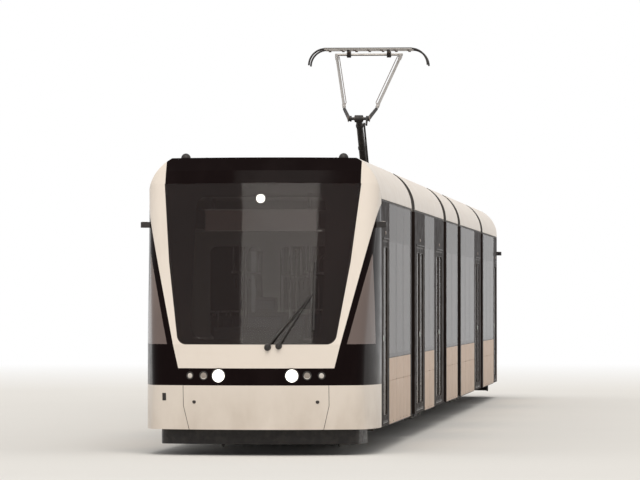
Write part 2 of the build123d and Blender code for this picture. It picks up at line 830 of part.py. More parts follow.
def set_back_at(z):
    """How far the middle of the nose stands back at a height."""
    for (z0, back0), (z1, back1) in zip(NOSE_SECTIONS, NOSE_SECTIONS[1:]):
        if z <= z1:
            return back0 + (back1 - back0) * (z - z0) / (z1 - z0)
    return NOSE_SECTIONS[-1][1]


def nose_surface_x(y, z):
    """Place along the tram of the nose's wide front arc at a width and height."""
    front_x = LENGTH / 2 - set_back_at(z)
    return front_x - NOSE_FRONT_R + math.sqrt(NOSE_FRONT_R**2 - y**2)


def nose_body(inset):
    """Solid nose drawn in by an inset, open to the body behind it and to the ground."""
    heights = [z for z, _ in NOSE_SECTIONS]
    if inset:
        heights[0] -= 20
        heights[-1] -= inset
    sections = []
    for z in heights:
        front_x = LENGTH / 2 - set_back_at(z)
        sections.append(nose_outline(z, front_x, inset, NOSE_TAIL))
    solid = loft(sections, ruled=True)
    foot = GUTTER_Z + GUTTER_GAP
    for side in (1, -1):
        arc = cove_arc(HALF_WIDTH - inset, foot, COVE_TOP_HALF - inset, COVE_TOP_Z - inset, side)
        above = COVE_TOP_Z + 100
        beside = side * (HALF_WIDTH + 100)
        over = Polyline(arc @ 1, (0, side * (COVE_TOP_HALF - inset), above), (0, beside, above))
        down = Polyline((0, beside, above), (0, beside, foot), arc @ 0)
        corner = section_bar(make_face([arc, over, down]), NOSE_BACK_X - 2 * NOSE_TAIL, LENGTH / 2)
        solid = solid - corner
    if inset:
        return solid
    return solid - box(NOSE_BACK_X - 2 * NOSE_TAIL, NOSE_BACK_X, -2000, 2000, 0, 4000)


def front_prism(points):
    """Front-view outline of half widths and heights, mirrored and cut through the nose."""
    right = [(-y, z) for y, z in reversed(points)]
    return prism(list(points) + right, "X", NOSE_BACK_X - 1, LENGTH / 2 + 100)


def screen_cut():
    """Windscreen outline with round lower corners."""
    points = [(half, z) for z, half in SCREEN_SIDES]
    solid = front_prism(points)
    low = [e for e in solid.edges().filter_by(Axis.X) if e.center().Z < SCREEN_BOTTOM_Z + 1]
    return fillet(low, SCREEN_CORNER_R)


def frame_half(z):
    """Half width of the white frame's outer edge at a height."""
    return FRAME_FOOT_HALF + FRAME_SLOPE * (z - BAR_BOTTOM_Z)


# Front lamps: distance from the centre line and radius
LAMPS = ((410, 78), (578, 46), (735, 38))
LAMP_Z = 895


def nose_pieces():
    """Bumper, mask, white frame, cap, windscreen, corner panes and lamps of the leading end."""
    outer = nose_body(0)
    shell = outer - nose_body(NOSE_SHELL)
    skin = outer - nose_body(NOSE_GLASS)
    x0 = NOSE_BACK_X - 1
    x1 = LENGTH / 2 + 1
    screen = screen_cut()
    top = COVE_TOP_Z + 100
    wide = frame_half(top)
    frame_zone = front_prism(((FRAME_FOOT_HALF, BAR_BOTTOM_Z), (wide, top)))
    cap_zone = box(x0, x1, -CAP_HALF, CAP_HALF, CREASE_Z, top)
    pane_foot = frame_half(CORNER_WINDOW_BOTTOM_Z) + CORNER_WINDOW_MARGIN
    pane_top = frame_half(CORNER_WINDOW_TOP_Z) + CORNER_WINDOW_MARGIN
    far = HALF_WIDTH + 200
    pane_zones = []
    for side in (1, -1):
        points = [
            (side * pane_foot, CORNER_WINDOW_BOTTOM_Z),
            (side * far, CORNER_WINDOW_BOTTOM_Z),
            (side * far, CORNER_WINDOW_TOP_Z),
            (side * pane_top, CORNER_WINDOW_TOP_Z),
        ]
        pane_zones.append(prism(points, "X", CORNER_WINDOW_BACK_X, x1))
    low_zone = box(x0, x1, -far, far, 0, BUMPER_TOP_Z)
    lamp_rods = []
    for y, radius in LAMPS:
        for side in (1, -1):
            lamp_rods.append(rod(LENGTH / 2 - 200, side * y, LAMP_Z, radius, 500, "X"))
    bumper = shell & low_zone
    for side in (1, -1):
        seam = [
            (side * BUMPER_SEAM_TOP_Y, BUMPER_TOP_Z + 1),
            (side * (BUMPER_SEAM_TOP_Y + JOINT_LINE), BUMPER_TOP_Z + 1),
            (side * (BUMPER_SEAM_TOP_Y + JOINT_LINE), BUMPER_SEAM_JOG_Z),
            (side * (BUMPER_SEAM_FOOT_Y + JOINT_LINE), SKIRT_Z - 1),
            (side * BUMPER_SEAM_FOOT_Y, SKIRT_Z - 1),
            (side * BUMPER_SEAM_TOP_Y, BUMPER_SEAM_JOG_Z),
        ]
        groove = prism(seam, "X", NOSE_BACK_X + 600, x1) - nose_body(2 * JOINT_LINE)
        bumper = bumper - groove
    upper = shell - low_zone
    frame = (upper & frame_zone) - screen - cap_zone
    cap = upper & cap_zone
    mask = upper - frame_zone - cap_zone
    for zone in pane_zones:
        mask = mask - zone
    lamps = [mask & lamp for lamp in lamp_rods]
    for lamp in lamp_rods:
        mask = mask - lamp
    windscreen = skin & screen
    corner_panes = [(skin - frame_zone) & zone for zone in pane_zones]
    return bumper, mask, frame, cap, windscreen, corner_panes, lamps


# Wiper, as width and height on the screen
WIPER_STAND = 42
WIPER_FOOT_R = 12
WIPER_TIP_R = 7
WIPER_FEET = ((139, 1211), (262, 1226))
WIPER_TIP = (640, 1835)
WIPER_SPINDLE_R = 22
BLADE_Y = 640
BLADE_Z = (1400, 2160)
BLADE_R = 12


def wiper():
    """Two parallel arms on their spindles, with the upright blade."""
    def above_glass(spot, stand):
        return (nose_surface_x(*spot) + stand, *spot)

    tip = above_glass(WIPER_TIP, WIPER_STAND)
    pieces = []
    for foot in WIPER_FEET:
        start = above_glass(foot, WIPER_STAND)
        pieces.append(tapered_between(start, tip, WIPER_FOOT_R, WIPER_TIP_R))
        middle = start[0] - WIPER_STAND / 2
        spindle = rod(middle, *foot, WIPER_SPINDLE_R, WIPER_STAND + WIPER_FOOT_R, "X")
        pieces.append(spindle - nose_body(0))
    blade = [above_glass((BLADE_Y, z), WIPER_STAND / 2) for z in BLADE_Z]
    pieces.append(tube_between(*blade, BLADE_R))
    pieces.append(rod(tip[0] - 10, tip[1], tip[2], BLADE_R + 2, 26, "X"))
    return fuse(pieces)


def side_camera(side):
    """Flat streamlined arm on the corner post, with the camera in its round end."""
    root = HALF_WIDTH - 40
    reach = HALF_WIDTH + CAMERA_REACH
    outline = [
        (CAMERA_X - CAMERA_ROOT_HALF, side * root),
        (CAMERA_X + CAMERA_ROOT_HALF, side * root),
        (CAMERA_X + CAMERA_TIP_HALF, side * reach),
        (CAMERA_X - CAMERA_TIP_HALF, side * reach),
    ]
    arm = prism(outline, "Z", CAMERA_Z - CAMERA_THICK / 2, CAMERA_Z + CAMERA_THICK / 2)
    tips = arm.edges().filter_by(Axis.Z).sort_by(lambda edge: abs(edge.center().Y))[-2:]
    arm = fillet(tips, CAMERA_THICK / 2 - 4)
    return arm - nose_body(0)


def antenna(side):
    """Low dome on the roof's front edge."""
    dome = Pos(ANTENNA_X, side * ANTENNA_Y, COVE_TOP_Z) * Sphere(ANTENNA_R)
    above = Pos(ANTENNA_X, side * ANTENNA_Y, COVE_TOP_Z + ANTENNA_R) * Box(*[2 * ANTENNA_R] * 3)
    return dome & above


def front_fittings(lamps):
    """Lamps, wiper, side cameras and roof antennas of the leading end."""
    pieces = list(lamps)
    pieces.append(wiper())
    for side in (1, -1):
        pieces.append(side_camera(side))
        pieces.append(antenna(side))
    return pieces


def cab_floor():
    """Floor of the cab, inside the nose's shell."""
    x0 = NOSE_BACK_X - 1
    wide = HALF_WIDTH + WALL
    slab = box(x0, LENGTH / 2, -wide, wide, FLOOR_TOP_Z - FLOOR_THICK, FLOOR_TOP_Z)
    return nose_body(NOSE_SHELL) & slab


def deflector():
    """Obstacle deflector that hangs under the cab floor, open behind."""
    front_x = LENGTH / 2 - DEFLECTOR_BACK
    height = FLOOR_TOP_Z - FLOOR_THICK - SEAT_GAP - DEFLECTOR_Z
    outer = nose_outline(DEFLECTOR_Z, front_x, DEFLECTOR_INSET, 1)
    outer = extrude(outer, amount=height, dir=(0, 0, 1))
    inner = nose_outline(DEFLECTOR_Z, front_x, DEFLECTOR_INSET + DEFLECTOR_THICK, DEFLECTOR_THICK)
    inner = extrude(inner, amount=height, dir=(0, 0, 1))
    return outer - inner


# Running gear
def wheel():
    """Flanged wheel with a dished web, turned from its half section."""
    back = WHEEL_BACK_Y
    flange_half = FLANGE_WIDTH / 2
    tread_end = back + FLANGE_WIDTH + TREAD_WIDTH
    rim_r = WHEEL_R - RIM_THICK
    web = back + WEB_NEAR
    web_face = web + WEB_THICK
    flange = ThreePointArc(
        (0, back, FLANGE_R - flange_half),
        (0, back + flange_half, FLANGE_R),
        (0, back + FLANGE_WIDTH, FLANGE_R - flange_half),
    )
    profile = [
        (back + FLANGE_WIDTH, FLANGE_R - flange_half),
        (back + FLANGE_WIDTH + TREAD_FALL, WHEEL_R),
        (tread_end, WHEEL_R - TREAD_FALL),
        (tread_end, rim_r),
        (web_face + WEB_FILLET, rim_r),
        (web_face, rim_r - WEB_FILLET),
        (web_face, HUB_R + WEB_FILLET),
        (web_face + WEB_FILLET, HUB_R),
        (back + HUB_LENGTH, HUB_R),
        (back + HUB_LENGTH, AXLE_R),
        (back, AXLE_R),
        (back, HUB_R),
        (web, HUB_R + WEB_NEAR),
        (web, rim_r - WEB_NEAR),
        (back, rim_r),
        (back, FLANGE_R - flange_half),
    ]
    lines = Polyline([(0, y, radius) for y, radius in profile])
    return revolve(make_face([flange, lines]), Axis.Y, 360)


def wheelset(x):
    """Axle with two flanged wheels, one solid."""
    left = wheel()
    wheels = [left, left.mirror(Plane.XZ)]
    axle = rod(0, 0, 0, AXLE_R + 0.5, 2 * JOURNAL_FROM_Y, "Y")
    journals = rod(0, 0, 0, JOURNAL_R, 2 * JOURNAL_TO_Y, "Y")
    return Pos(x, 0, AXLE_Z) * fuse([axle, journals] + wheels)


def bogie_beam(side):
    """Side frame of a bogie: arms over the axle boxes and a deeper belly between them."""
    tip = WHEELBASE / 2 + SIDE_FRAME_REACH
    knee = WHEELBASE / 2 - SIDE_FRAME_REACH
    belly = knee - (SIDE_FRAME_ARM_Z - SIDE_FRAME_BELLY_Z) * SIDE_FRAME_SLOPE
    half = [
        (belly, SIDE_FRAME_BELLY_Z),
        (knee, SIDE_FRAME_ARM_Z),
        (tip, SIDE_FRAME_ARM_Z),
        (tip, SIDE_FRAME_TOP_Z),
    ]
    outline = half + [(-x, z) for x, z in reversed(half)]
    near, far = sorted((side * SIDE_FRAME_NEAR_Y, side * SIDE_FRAME_FAR_Y))
    plate = prism(outline, "Y", near, far)
    return fillet(plate.edges().filter_by(Axis.Y), SIDE_FRAME_R)


def axle_box(x, side):
    """Axle box with its wings and the two springs that carry the side frame."""
    middle = (SIDE_FRAME_NEAR_Y + SIDE_FRAME_FAR_Y) / 2
    wing_top = WING_Z + WING_THICK
    centre = side * (AXLE_BOX_NEAR_Y + AXLE_BOX_FAR_Y) / 2
    pieces = [
        rod(x, centre, AXLE_Z, AXLE_BOX_R, AXLE_BOX_FAR_Y - AXLE_BOX_NEAR_Y, "Y"),
        box(
            x - SIDE_FRAME_REACH,
            x + SIDE_FRAME_REACH,
            side * SIDE_FRAME_NEAR_Y,
            side * SIDE_FRAME_FAR_Y,
            WING_Z,
            wing_top,
        ),
    ]
    height = SIDE_FRAME_ARM_Z - wing_top
    for end in (1, -1):
        place = Pos(x + end * PRIMARY_SPRING_X, side * middle, (wing_top + SIDE_FRAME_ARM_Z) / 2)
        pieces.append(place * Cylinder(PRIMARY_SPRING_R, height))
        for share in (-0.25, 0.25):
            pieces.append(place * Pos(0, 0, share * height) * Cylinder(PRIMARY_COIL_R, height / 6))
    return pieces


def body_spring(side):
    """Stack of rubber rings between the side frame and the body."""
    top = AXLE_Z + FLANGE_R + WHEEL_TOP_ROOM - SEAT_GAP
    bottom = SIDE_FRAME_TOP_Z
    plate = BODY_SPRING_PLATE_THICK
    waist, bulge, rim = BODY_SPRING_WAIST_R, BODY_SPRING_RING_R, BODY_SPRING_PLATE_R
    step = (top - bottom - 2 * plate) / BODY_SPRING_RINGS
    points = [(bottom, 0), (bottom, rim), (bottom + plate, rim)]
    for i in range(BODY_SPRING_RINGS):
        foot = bottom + plate + i * step
        points += [(foot, waist), (foot + step / 4, bulge), (foot + step * 3 / 4, bulge)]
    points += [(top - plate, waist), (top - plate, rim), (top, rim), (top, 0)]
    middle = (SIDE_FRAME_NEAR_Y + SIDE_FRAME_FAR_Y) / 2
    return Pos(0, side * middle, 0) * turning(points, "Z")


def gearbox(end, side):
    """Round gearbox outside the side frame, over the end of an axle."""
    near = SIDE_FRAME_FAR_Y
    section = [
        (near, 0),
        (near, GEARBOX_R - 12),
        (near + 60, GEARBOX_R),
        (GEARBOX_LID_Y, GEARBOX_R),
        (GEARBOX_FAR_Y, GEARBOX_LID_R),
        (GEARBOX_FAR_Y, 0),
    ]
    return Pos(end * WHEELBASE / 2, 0, AXLE_Z) * Rot(0, 0, 90 - 90 * side) * turning(section, "Y")


def drive(side):
    """Ribbed motor along the side, with a shaft and couplings to the gearbox on each axle's end."""
    y = side * MOTOR_Y
    pieces = [
        rod(0, y, MOTOR_Z, MOTOR_R - MOTOR_GROOVE, 2 * MOTOR_HALF, "X"),
        rod(0, y, MOTOR_Z, SHAFT_R, WHEELBASE, "X"),
    ]
    ribs = int(2 * MOTOR_HALF // MOTOR_RIB_PITCH)
    first = -(ribs - 1) * MOTOR_RIB_PITCH / 2
    for i in range(ribs):
        pieces.append(rod(first + i * MOTOR_RIB_PITCH, y, MOTOR_Z, MOTOR_R, MOTOR_RIB, "X"))
    root = side * (SIDE_FRAME_FAR_Y - 10)
    for end in (1, -1):
        pieces.append(gearbox(end, side))
        pieces.append(rod(end * COUPLING_X, y, MOTOR_Z, 2 * SHAFT_R, COUPLING_LENGTH, "X"))
        x = end * MOTOR_HANGER_X
        half = HANGER_THICK / 2
        pieces.append(box(x - half, x + half, root, y, MOTOR_Z, MOTOR_HANGER_TOP_Z))
    return pieces


def track_brake(side):
    """Rail brake with ramped ends, hung from the transoms."""
    half_width = TRACK_BRAKE_WIDTH / 2
    near, far = sorted((side * (TRACK_BRAKE_Y - half_width), side * (TRACK_BRAKE_Y + half_width)))
    low = TRACK_BRAKE_LIFT
    top = low + TRACK_BRAKE_HEIGHT
    half = TRACK_BRAKE_HALF
    knee = half - TRACK_BRAKE_RAMP
    heel = low + TRACK_BRAKE_RAMP * 0.6
    outline = [(half, heel), (half, top), (-half, top), (-half, heel), (-knee, low), (knee, low)]
    pieces = [prism(outline, "Y", near, far)]
    hanger = TRACK_BRAKE_HANGER / 2
    for end in (1, -1):
        x = end * TRANSOM_X
        y0 = side * (TRACK_BRAKE_Y - hanger)
        y1 = side * (TRACK_BRAKE_Y + hanger)
        pieces.append(box(x - HANGER_THICK / 2, x + HANGER_THICK / 2, y0, y1, top, TRANSOM_Z))
    return pieces


def bogie(x):
    """Bogie frame with axle boxes, springs, drives and rail brakes, one solid."""
    pieces = []
    for side in (1, -1):
        pieces.append(bogie_beam(side))
        for end in (1, -1):
            pieces += axle_box(end * WHEELBASE / 2, side)
        pieces.append(body_spring(side))
        pieces += drive(side)
        pieces += track_brake(side)
    floor_z = FLOOR_TOP_Z - FLOOR_THICK
    for end in (1, -1):
        pieces.append(rod(end * TRANSOM_X, 0, TRANSOM_Z, TRANSOM_R, 2 * SIDE_FRAME_FAR_Y - 20, "Y"))
        pad = Pos(end * TRANSOM_X, 0, (TRANSOM_Z + floor_z) / 2) * Cylinder(BOLSTER_R, floor_z - TRANSOM_Z)
        pieces.append(pad)
    body = fuse(pieces)
    for end in (1, -1):
        bore_r = JOURNAL_R + JOURNAL_CLEARANCE
        body = body - rod(end * WHEELBASE / 2, 0, AXLE_Z, bore_r, 2 * JOURNAL_TO_Y + 10, "Y")
    return Pos(x, 0, 0) * body


# Pantograph
def insulator(x, y, foot, top):
    """Ribbed insulator: a core with sheds, turned from its half section."""
    pitch = (top - foot) / SHEDS
    points = [(foot, 0)]
    for i in range(SHEDS):
        z = foot + i * pitch
        points += [(z, INSULATOR_R), (z + pitch * 0.35, INSULATOR_R), (z + pitch * 0.55, SHED_R)]
        points += [(z + pitch * 0.7, SHED_R), (z + pitch * 0.95, INSULATOR_R)]
    points += [(top, INSULATOR_R), (top, 0)]
    return Pos(x, y, 0) * turning(points, "Z")


def panto_base():
    """Insulated frame on the roof with the bearing ears and pins of the lower arm and the guide rod."""
    foot = GUTTER_Z + DECK_THICK + PANTO_PLINTH
    rail_top = PANTO_RAIL_Z + PANTO_RAIL_HEIGHT
    bar = PANTO_BAR_HALF
    back, front = PANTO_FEET_X
    reach = PANTO_RAIL_Y + bar
    pieces = []
    for x in PANTO_FEET_X:
        for y in (-PANTO_RAIL_Y, PANTO_RAIL_Y):
            pieces.append(insulator(x, y, foot, PANTO_RAIL_Z))
        pieces.append(box(x - bar, x + bar, -reach, reach, PANTO_RAIL_Z, rail_top))
    for y in (-PANTO_RAIL_Y, PANTO_RAIL_Y):
        pieces.append(box(back - bar, front + bar, y - bar, y + bar, PANTO_RAIL_Z, rail_top))
    near, far = PANTO_BASE_X - EAR_R, PANTO_BASE_X + EAR_R
    pieces.append(box(near, far, -PANTO_RAIL_Y, PANTO_RAIL_Y, PANTO_RAIL_Z, rail_top))
    ear_y = LOWER_ARM_EYE_HALF + EAR_THICK
    for y in (-ear_y, ear_y):
        pieces.append(box(near, far, y - EAR_THICK / 2, y + EAR_THICK / 2, rail_top, PANTO_BASE_Z))
        pieces.append(rod(PANTO_BASE_X, y, PANTO_BASE_Z, EAR_R, EAR_THICK, "Y"))
    pieces.append(rod(PANTO_BASE_X, 0, PANTO_BASE_Z, PANTO_PIN_R, 2 * ear_y + EAR_THICK, "Y"))
    return fuse(pieces + guide_bearing())


def guide_bearing():
    """Bridge between the base rails with the guide rod's two small ears and pin."""
    top = GUIDE_Z - GUIDE_BRIDGE_DROP
    half = GUIDE_EYE_R - 4
    pieces = [
        box(GUIDE_X - half, GUIDE_X + half, -PANTO_RAIL_Y, PANTO_RAIL_Y, top - GUIDE_BRIDGE_THICK, top),
        rod(GUIDE_X, GUIDE_Y, GUIDE_Z, GUIDE_PIN_R, 5 * GUIDE_EYE_HALF, "Y"),
    ]
    ear_thick = GUIDE_EYE_HALF
    for way in (-1, 1):
        y = GUIDE_Y + way * (GUIDE_EYE_HALF + GUIDE_SIDE_GAP + ear_thick / 2)
        pieces.append(
            box(GUIDE_X - half, GUIDE_X + half, y - ear_thick / 2, y + ear_thick / 2, top, GUIDE_Z)
        )
        pieces.append(rod(GUIDE_X, y, GUIDE_Z, half, ear_thick, "Y"))
    return pieces


def panto_lower_arm():
    """Single thick tube, a little tapered, from the base bearing to the knuckle."""
    base = (PANTO_BASE_X, 0, PANTO_BASE_Z)
    knuckle = (KNUCKLE_X, 0, KNUCKLE_Z)
    arm = fuse([
        tapered_between(base, knuckle, LOWER_ARM_FOOT_R, LOWER_ARM_TIP_R),
        rod(*base, LOWER_ARM_FOOT_R + 2, 2 * LOWER_ARM_EYE_HALF, "Y"),
        rod(*knuckle, LOWER_ARM_TIP_R + 6, 2 * KNUCKLE_EYE_HALF, "Y"),
    ])
    for x, y, z in (base, knuckle):
        arm = arm - rod(x, y, z, PANTO_PIN_R + PIVOT_CLEARANCE, 4 * LOWER_ARM_EYE_HALF, "Y")
    return arm


def lever_end():
    """Place of the upper arm's lever end, past the knuckle, as X and Z."""
    turn = math.radians(LEVER_ANGLE)
    return KNUCKLE_X + LEVER_REACH * math.cos(turn), KNUCKLE_Z + LEVER_REACH * math.sin(turn)


def panto_guide_rod():
    """Thin rod from the base to beside the upper arm's lever, with an eye at its foot and a stub pin."""
    lever_x, lever_z = lever_end()
    foot = (GUIDE_X, GUIDE_Y, GUIDE_Z)
    tip = (lever_x, GUIDE_Y, lever_z)
    bar = fuse([
        tube_between(foot, tip, GUIDE_R),
        rod(*foot, GUIDE_EYE_R, 2 * GUIDE_EYE_HALF, "Y"),
        rod(*tip, GUIDE_EYE_R - 4, 2 * GUIDE_EYE_HALF, "Y"),
        rod(*tip, GUIDE_PIN_R, 2 * GUIDE_EYE_HALF + 8, "Y"),
    ])
    return bar - rod(*foot, GUIDE_PIN_R + PIVOT_CLEARANCE, 4 * GUIDE_EYE_HALF, "Y")


def panto_upper_arm():
    """Yoke on the knuckle pin, two light tubes that spread to the head's cross shaft, and the lever."""
    length = math.dist((KNUCKLE_X, KNUCKLE_Z), (HEAD_X, HEAD_Z))
    share = YOKE_LENGTH / length
    foot_x = KNUCKLE_X + share * (HEAD_X - KNUCKLE_X)
    foot_z = KNUCKLE_Z + share * (HEAD_Z - KNUCKLE_Z)
    pin_half = CHEEK_Y + CHEEK_THICK / 2
    pieces = [rod(KNUCKLE_X, 0, KNUCKLE_Z, PANTO_PIN_R, 2 * pin_half + 12, "Y")]
    for side in (1, -1):
        cheek = (KNUCKLE_X, side * CHEEK_Y, KNUCKLE_Z)
        start = (KNUCKLE_X, side * (pin_half + YOKE_R / 2), KNUCKLE_Z)
        foot = (foot_x, side * YOKE_HALF, foot_z)
        top = (HEAD_X, side * UPPER_TUBE_TOP_Y, HEAD_Z)
        pieces.append(rod(*cheek, CHEEK_R, CHEEK_THICK, "Y"))
        pieces.append(rod(*start, CHEEK_R - 6, YOKE_R, "Y"))
        pieces.append(tapered_between(start, foot, YOKE_R + 4, YOKE_R))
        pieces.append(Pos(*foot) * Sphere(YOKE_R))
        pieces.append(tube_between(foot, top, UPPER_TUBE_R))
    pieces.append(rod(HEAD_X, 0, HEAD_Z, HEAD_SHAFT_R, 2 * UPPER_TUBE_TOP_Y + 2 * UPPER_TUBE_R, "Y"))
    lever_x, lever_z = lever_end()
    turn = math.radians(LEVER_ANGLE)
    across = (-math.sin(turn), math.cos(turn))
    outline = []
    for x, z, width in ((KNUCKLE_X, KNUCKLE_Z, CHEEK_R), (lever_x, lever_z, LEVER_END_R)):
        outline.append((x + width * across[0], z + width * across[1]))
        outline.append((x - width * across[0], z - width * across[1]))
    outline[2], outline[3] = outline[3], outline[2]
    near = CHEEK_Y - CHEEK_THICK / 2
    pieces.append(prism(outline, "Y", near, near + CHEEK_THICK))
    pieces.append(rod(lever_x, CHEEK_Y, lever_z, LEVER_END_R, CHEEK_THICK, "Y"))
    return fuse(pieces)


def panto_head():
    """Two contact strips with curved horns, carried on the cross shaft."""
    pieces = []
    for x in (-HEAD_STRIP_X, HEAD_STRIP_X):
        near, far = x - HEAD_STRIP_WIDTH / 2, x + HEAD_STRIP_WIDTH / 2
        low = HEAD_TOP - HEAD_STRIP_THICK
        pieces.append(box(near, far, -HEAD_STRAIGHT_HALF, HEAD_STRAIGHT_HALF, low, HEAD_TOP))
        for side in (1, -1):
            root = (x, side * (HEAD_STRAIGHT_HALF - 10), HEAD_TOP - HEAD_STRIP_THICK / 2)
            bend = (x, side * (HEAD_STRAIGHT_HALF + 150), HEAD_TOP - 80)
            tip = (x, side * HEAD_HALF, HEAD_TOP - HORN_DROP)
            horn = ThreePointArc(root, bend, tip)
            section = Plane(origin=root, z_dir=horn % 0) * Circle(HORN_R)
            pieces.append(sweep(section, path=horn))
    for side in (1, -1):
        y = side * HEAD_HANGER_Y
        reach = HEAD_STRIP_X + 20
        top = HEAD_TOP - HEAD_STRIP_THICK + 1
        pieces.append(box(-reach, reach, y - 15, y + 15, top - HEAD_STRIP_THICK, top))
        pieces.append(rod(0, y, 0, HEAD_HUB_R, HEAD_HUB_LENGTH, "Y"))
    head = fuse(pieces) - rod(0, 0, 0, HEAD_SHAFT_R + PIVOT_CLEARANCE, 2 * HEAD_HALF, "Y")
    return Pos(HEAD_X, 0, HEAD_Z) * head


# Saloon and cab
# Seats: module, place along X, inner and outer distance from the middle, side, way it faces, base height
SEATS = (
    ("a", 10920, 650, 1240, 1, 1, 685),
    ("a", 11840, 650, 1240, 1, -1, 685),
    ("a", 12360, 650, 1240, 1, 1, 685),
    ("a", 13280, 650, 1240, 1, -1, 685),
    ("a", 10920, 650, 1240, -1, 1, 685),
    ("a", 11840, 650, 1240, -1, -1, 685),
    ("a", 12360, 650, 1240, -1, 1, 685),
    ("a", 13280, 650, 1240, -1, -1, 685),
    ("b", 4850, 400, 1240, 1, 1, 430),
    ("b", 6500, 400, 1240, 1, -1, 430),
    ("b", 2850, 400, 1240, -1, 1, 430),
    ("b", 4330, 400, 1240, -1, -1, 430),
    ("b", 4850, 400, 1240, -1, 1, 430),
    ("b", 6400, 400, 1240, -1, -1, 430),
    ("c", -1190, 650, 1240, 1, 1, 685),
    ("c", -260, 650, 1240, 1, -1, 685),
    ("c", 260, 650, 1240, 1, 1, 685),
    ("c", 1190, 650, 1240, 1, -1, 685),
    ("c", -1190, 650, 1240, -1, 1, 685),
    ("c", -260, 650, 1240, -1, -1, 685),
    ("c", 260, 650, 1240, -1, 1, 685),
    ("c", 1190, 650, 1240, -1, -1, 685),
)
# Handrail poles: module, place along X, distance from the centre line
POLES = (
    ("a", 13700, 420),
    ("a", 13700, -420),
    ("a", 10400, 420),
    ("a", 10400, -420),
    ("b", 3000, 420),
    ("b", 3900, 420),
    ("b", 7200, 420),
    ("b", 8300, 420),
    ("b", 7200, -420),
    ("b", 8300, -420),
)
POLE_R = 17
SEAT_TOP_Z = 900
SEAT_FRONT = 230
SEAT_BACK = 250
SEAT_HOLLOW = 18
SEAT_THICK = 70
SEAT_SHELL = 38
SEAT_FOOT_HALF = 60
SEAT_FOOT_INSET = 60
SEAT_SPLIT = 26
BACK_LEAN = 75
BACK_TOP_Z = 1545
BACK_CORNER_R = 70
WALL_PLATE_X = 14840
WALL_PLATE_THICK = 30
PARTITION_LEFT = (150, 950)
PARTITION_DOOR = (-650, -50)
PARTITION_SILL_Z = 1300
PARTITION_TOP_Z = 2350
PARTITION_CORNER_R = 80
DESK_BACK_X = 15600
DESK_FRONT_X = 15980
DESK_EDGE_Z = 1120
DESK_TOP_Z = 1200
DESK_HALF = 760
DESK_OVERHANG = 110
DRIVER_X = 15180
DRIVER_SEAT_Z = 860
DRIVER_SEAT_HALF = 250
DRIVER_CUSHION = 100
DRIVER_BACK_TOP_Z = 1600


def seat(x, near, far, side, facing, base_z):
    """Bench of two shells with hollow cushions and leaning backs, on a common foot."""
    low = SEAT_TOP_Z - SEAT_THICK
    root = SEAT_FRONT - SEAT_BACK - BACK_LEAN
    top = -SEAT_BACK
    hollow = ThreePointArc(
        (SEAT_FRONT - 20, 0, SEAT_TOP_Z),
        (SEAT_FRONT / 2 + root / 2, 0, SEAT_TOP_Z - SEAT_HOLLOW),
        (root - 40, 0, SEAT_TOP_Z),
    )
    lap = ThreePointArc(
        (root - 40, 0, SEAT_TOP_Z),
        (root - 62, 0, (SEAT_TOP_Z * 2 + BACK_TOP_Z) / 3),
        (top + SEAT_SHELL, 0, BACK_TOP_Z),
    )
    outline = Polyline(
        (top + SEAT_SHELL, 0, BACK_TOP_Z),
        (top, 0, BACK_TOP_Z),
        (root - 62 - SEAT_SHELL, 0, low + SEAT_SHELL),
        (root - 62, 0, low),
        (-SEAT_FOOT_HALF, 0, low),
        (SEAT_FRONT - 60, 0, low),
        (SEAT_FRONT, 0, low + SEAT_SHELL),
        (SEAT_FRONT - 20, 0, SEAT_TOP_Z),
    )
    half = (far - near) / 2
    shell = extrude(Pos(0, -half, 0) * make_face([hollow, lap, outline]), amount=2 * half, dir=(0, 1, 0))
    split = box(-2 * SEAT_BACK, root, -SEAT_SPLIT / 2, SEAT_SPLIT / 2, SEAT_TOP_Z + 40, BACK_TOP_Z + 1)
    shell = shell - split
    corners = shell.edges().filter_by(Axis.X).group_by(Axis.Z)[-1]
    shell = fillet(corners, BACK_CORNER_R)
    reach = half - SEAT_FOOT_INSET
    foot = box(-SEAT_FOOT_HALF, SEAT_FOOT_HALF, -reach, reach, base_z, low + 5)
    return Pos(x, side * (near + far) / 2, 0) * Rot(0, 0, 90 - 90 * facing) * fuse([shell, foot])


def ceiling_edges(lift):
    """Lower line of the ceiling, raised by some height: flat in the middle, curving down to the walls."""
    inner = HALF_WIDTH - WALL
    run = inner - CEILING_FLAT_HALF
    drop = CEILING_Z - CEILING_EDGE_Z
    radius = (run**2 + drop**2) / (2 * drop)
    turn = math.asin(run / radius) / 2
    middle = (CEILING_FLAT_HALF + radius * math.sin(turn), CEILING_Z - radius * (1 - math.cos(turn)))
    edges = [Line((0, -CEILING_FLAT_HALF, CEILING_Z + lift), (0, CEILING_FLAT_HALF, CEILING_Z + lift))]
    for side in (1, -1):
        edges.append(
            ThreePointArc(
                (0, side * CEILING_FLAT_HALF, CEILING_Z + lift),
                (0, side * middle[0], middle[1] + lift),
                (0, side * inner, CEILING_EDGE_Z + lift),
            )
        )
    return edges


def ceiling(x0, x1):
    """Curved lining under the roof, with two lengthwise light channels."""
    inner = HALF_WIDTH - WALL
    edges = ceiling_edges(0) + ceiling_edges(CEILING_THICK)
    for side in (1, -1):
        edges.append(
            Line((0, side * inner, CEILING_EDGE_Z), (0, side * inner, CEILING_EDGE_Z + CEILING_THICK))
        )
    lining = section_bar(make_face(edges), x0, x1)
    near = LIGHT_CHANNEL_Y - LIGHT_CHANNEL_WIDTH / 2
    far = LIGHT_CHANNEL_Y + LIGHT_CHANNEL_WIDTH / 2
    for side in (1, -1):
        channel = box(x0, x1, side * near, side * far, CEILING_Z - 1, CEILING_Z + LIGHT_CHANNEL_DEPTH)
        lining = lining - channel
    return lining


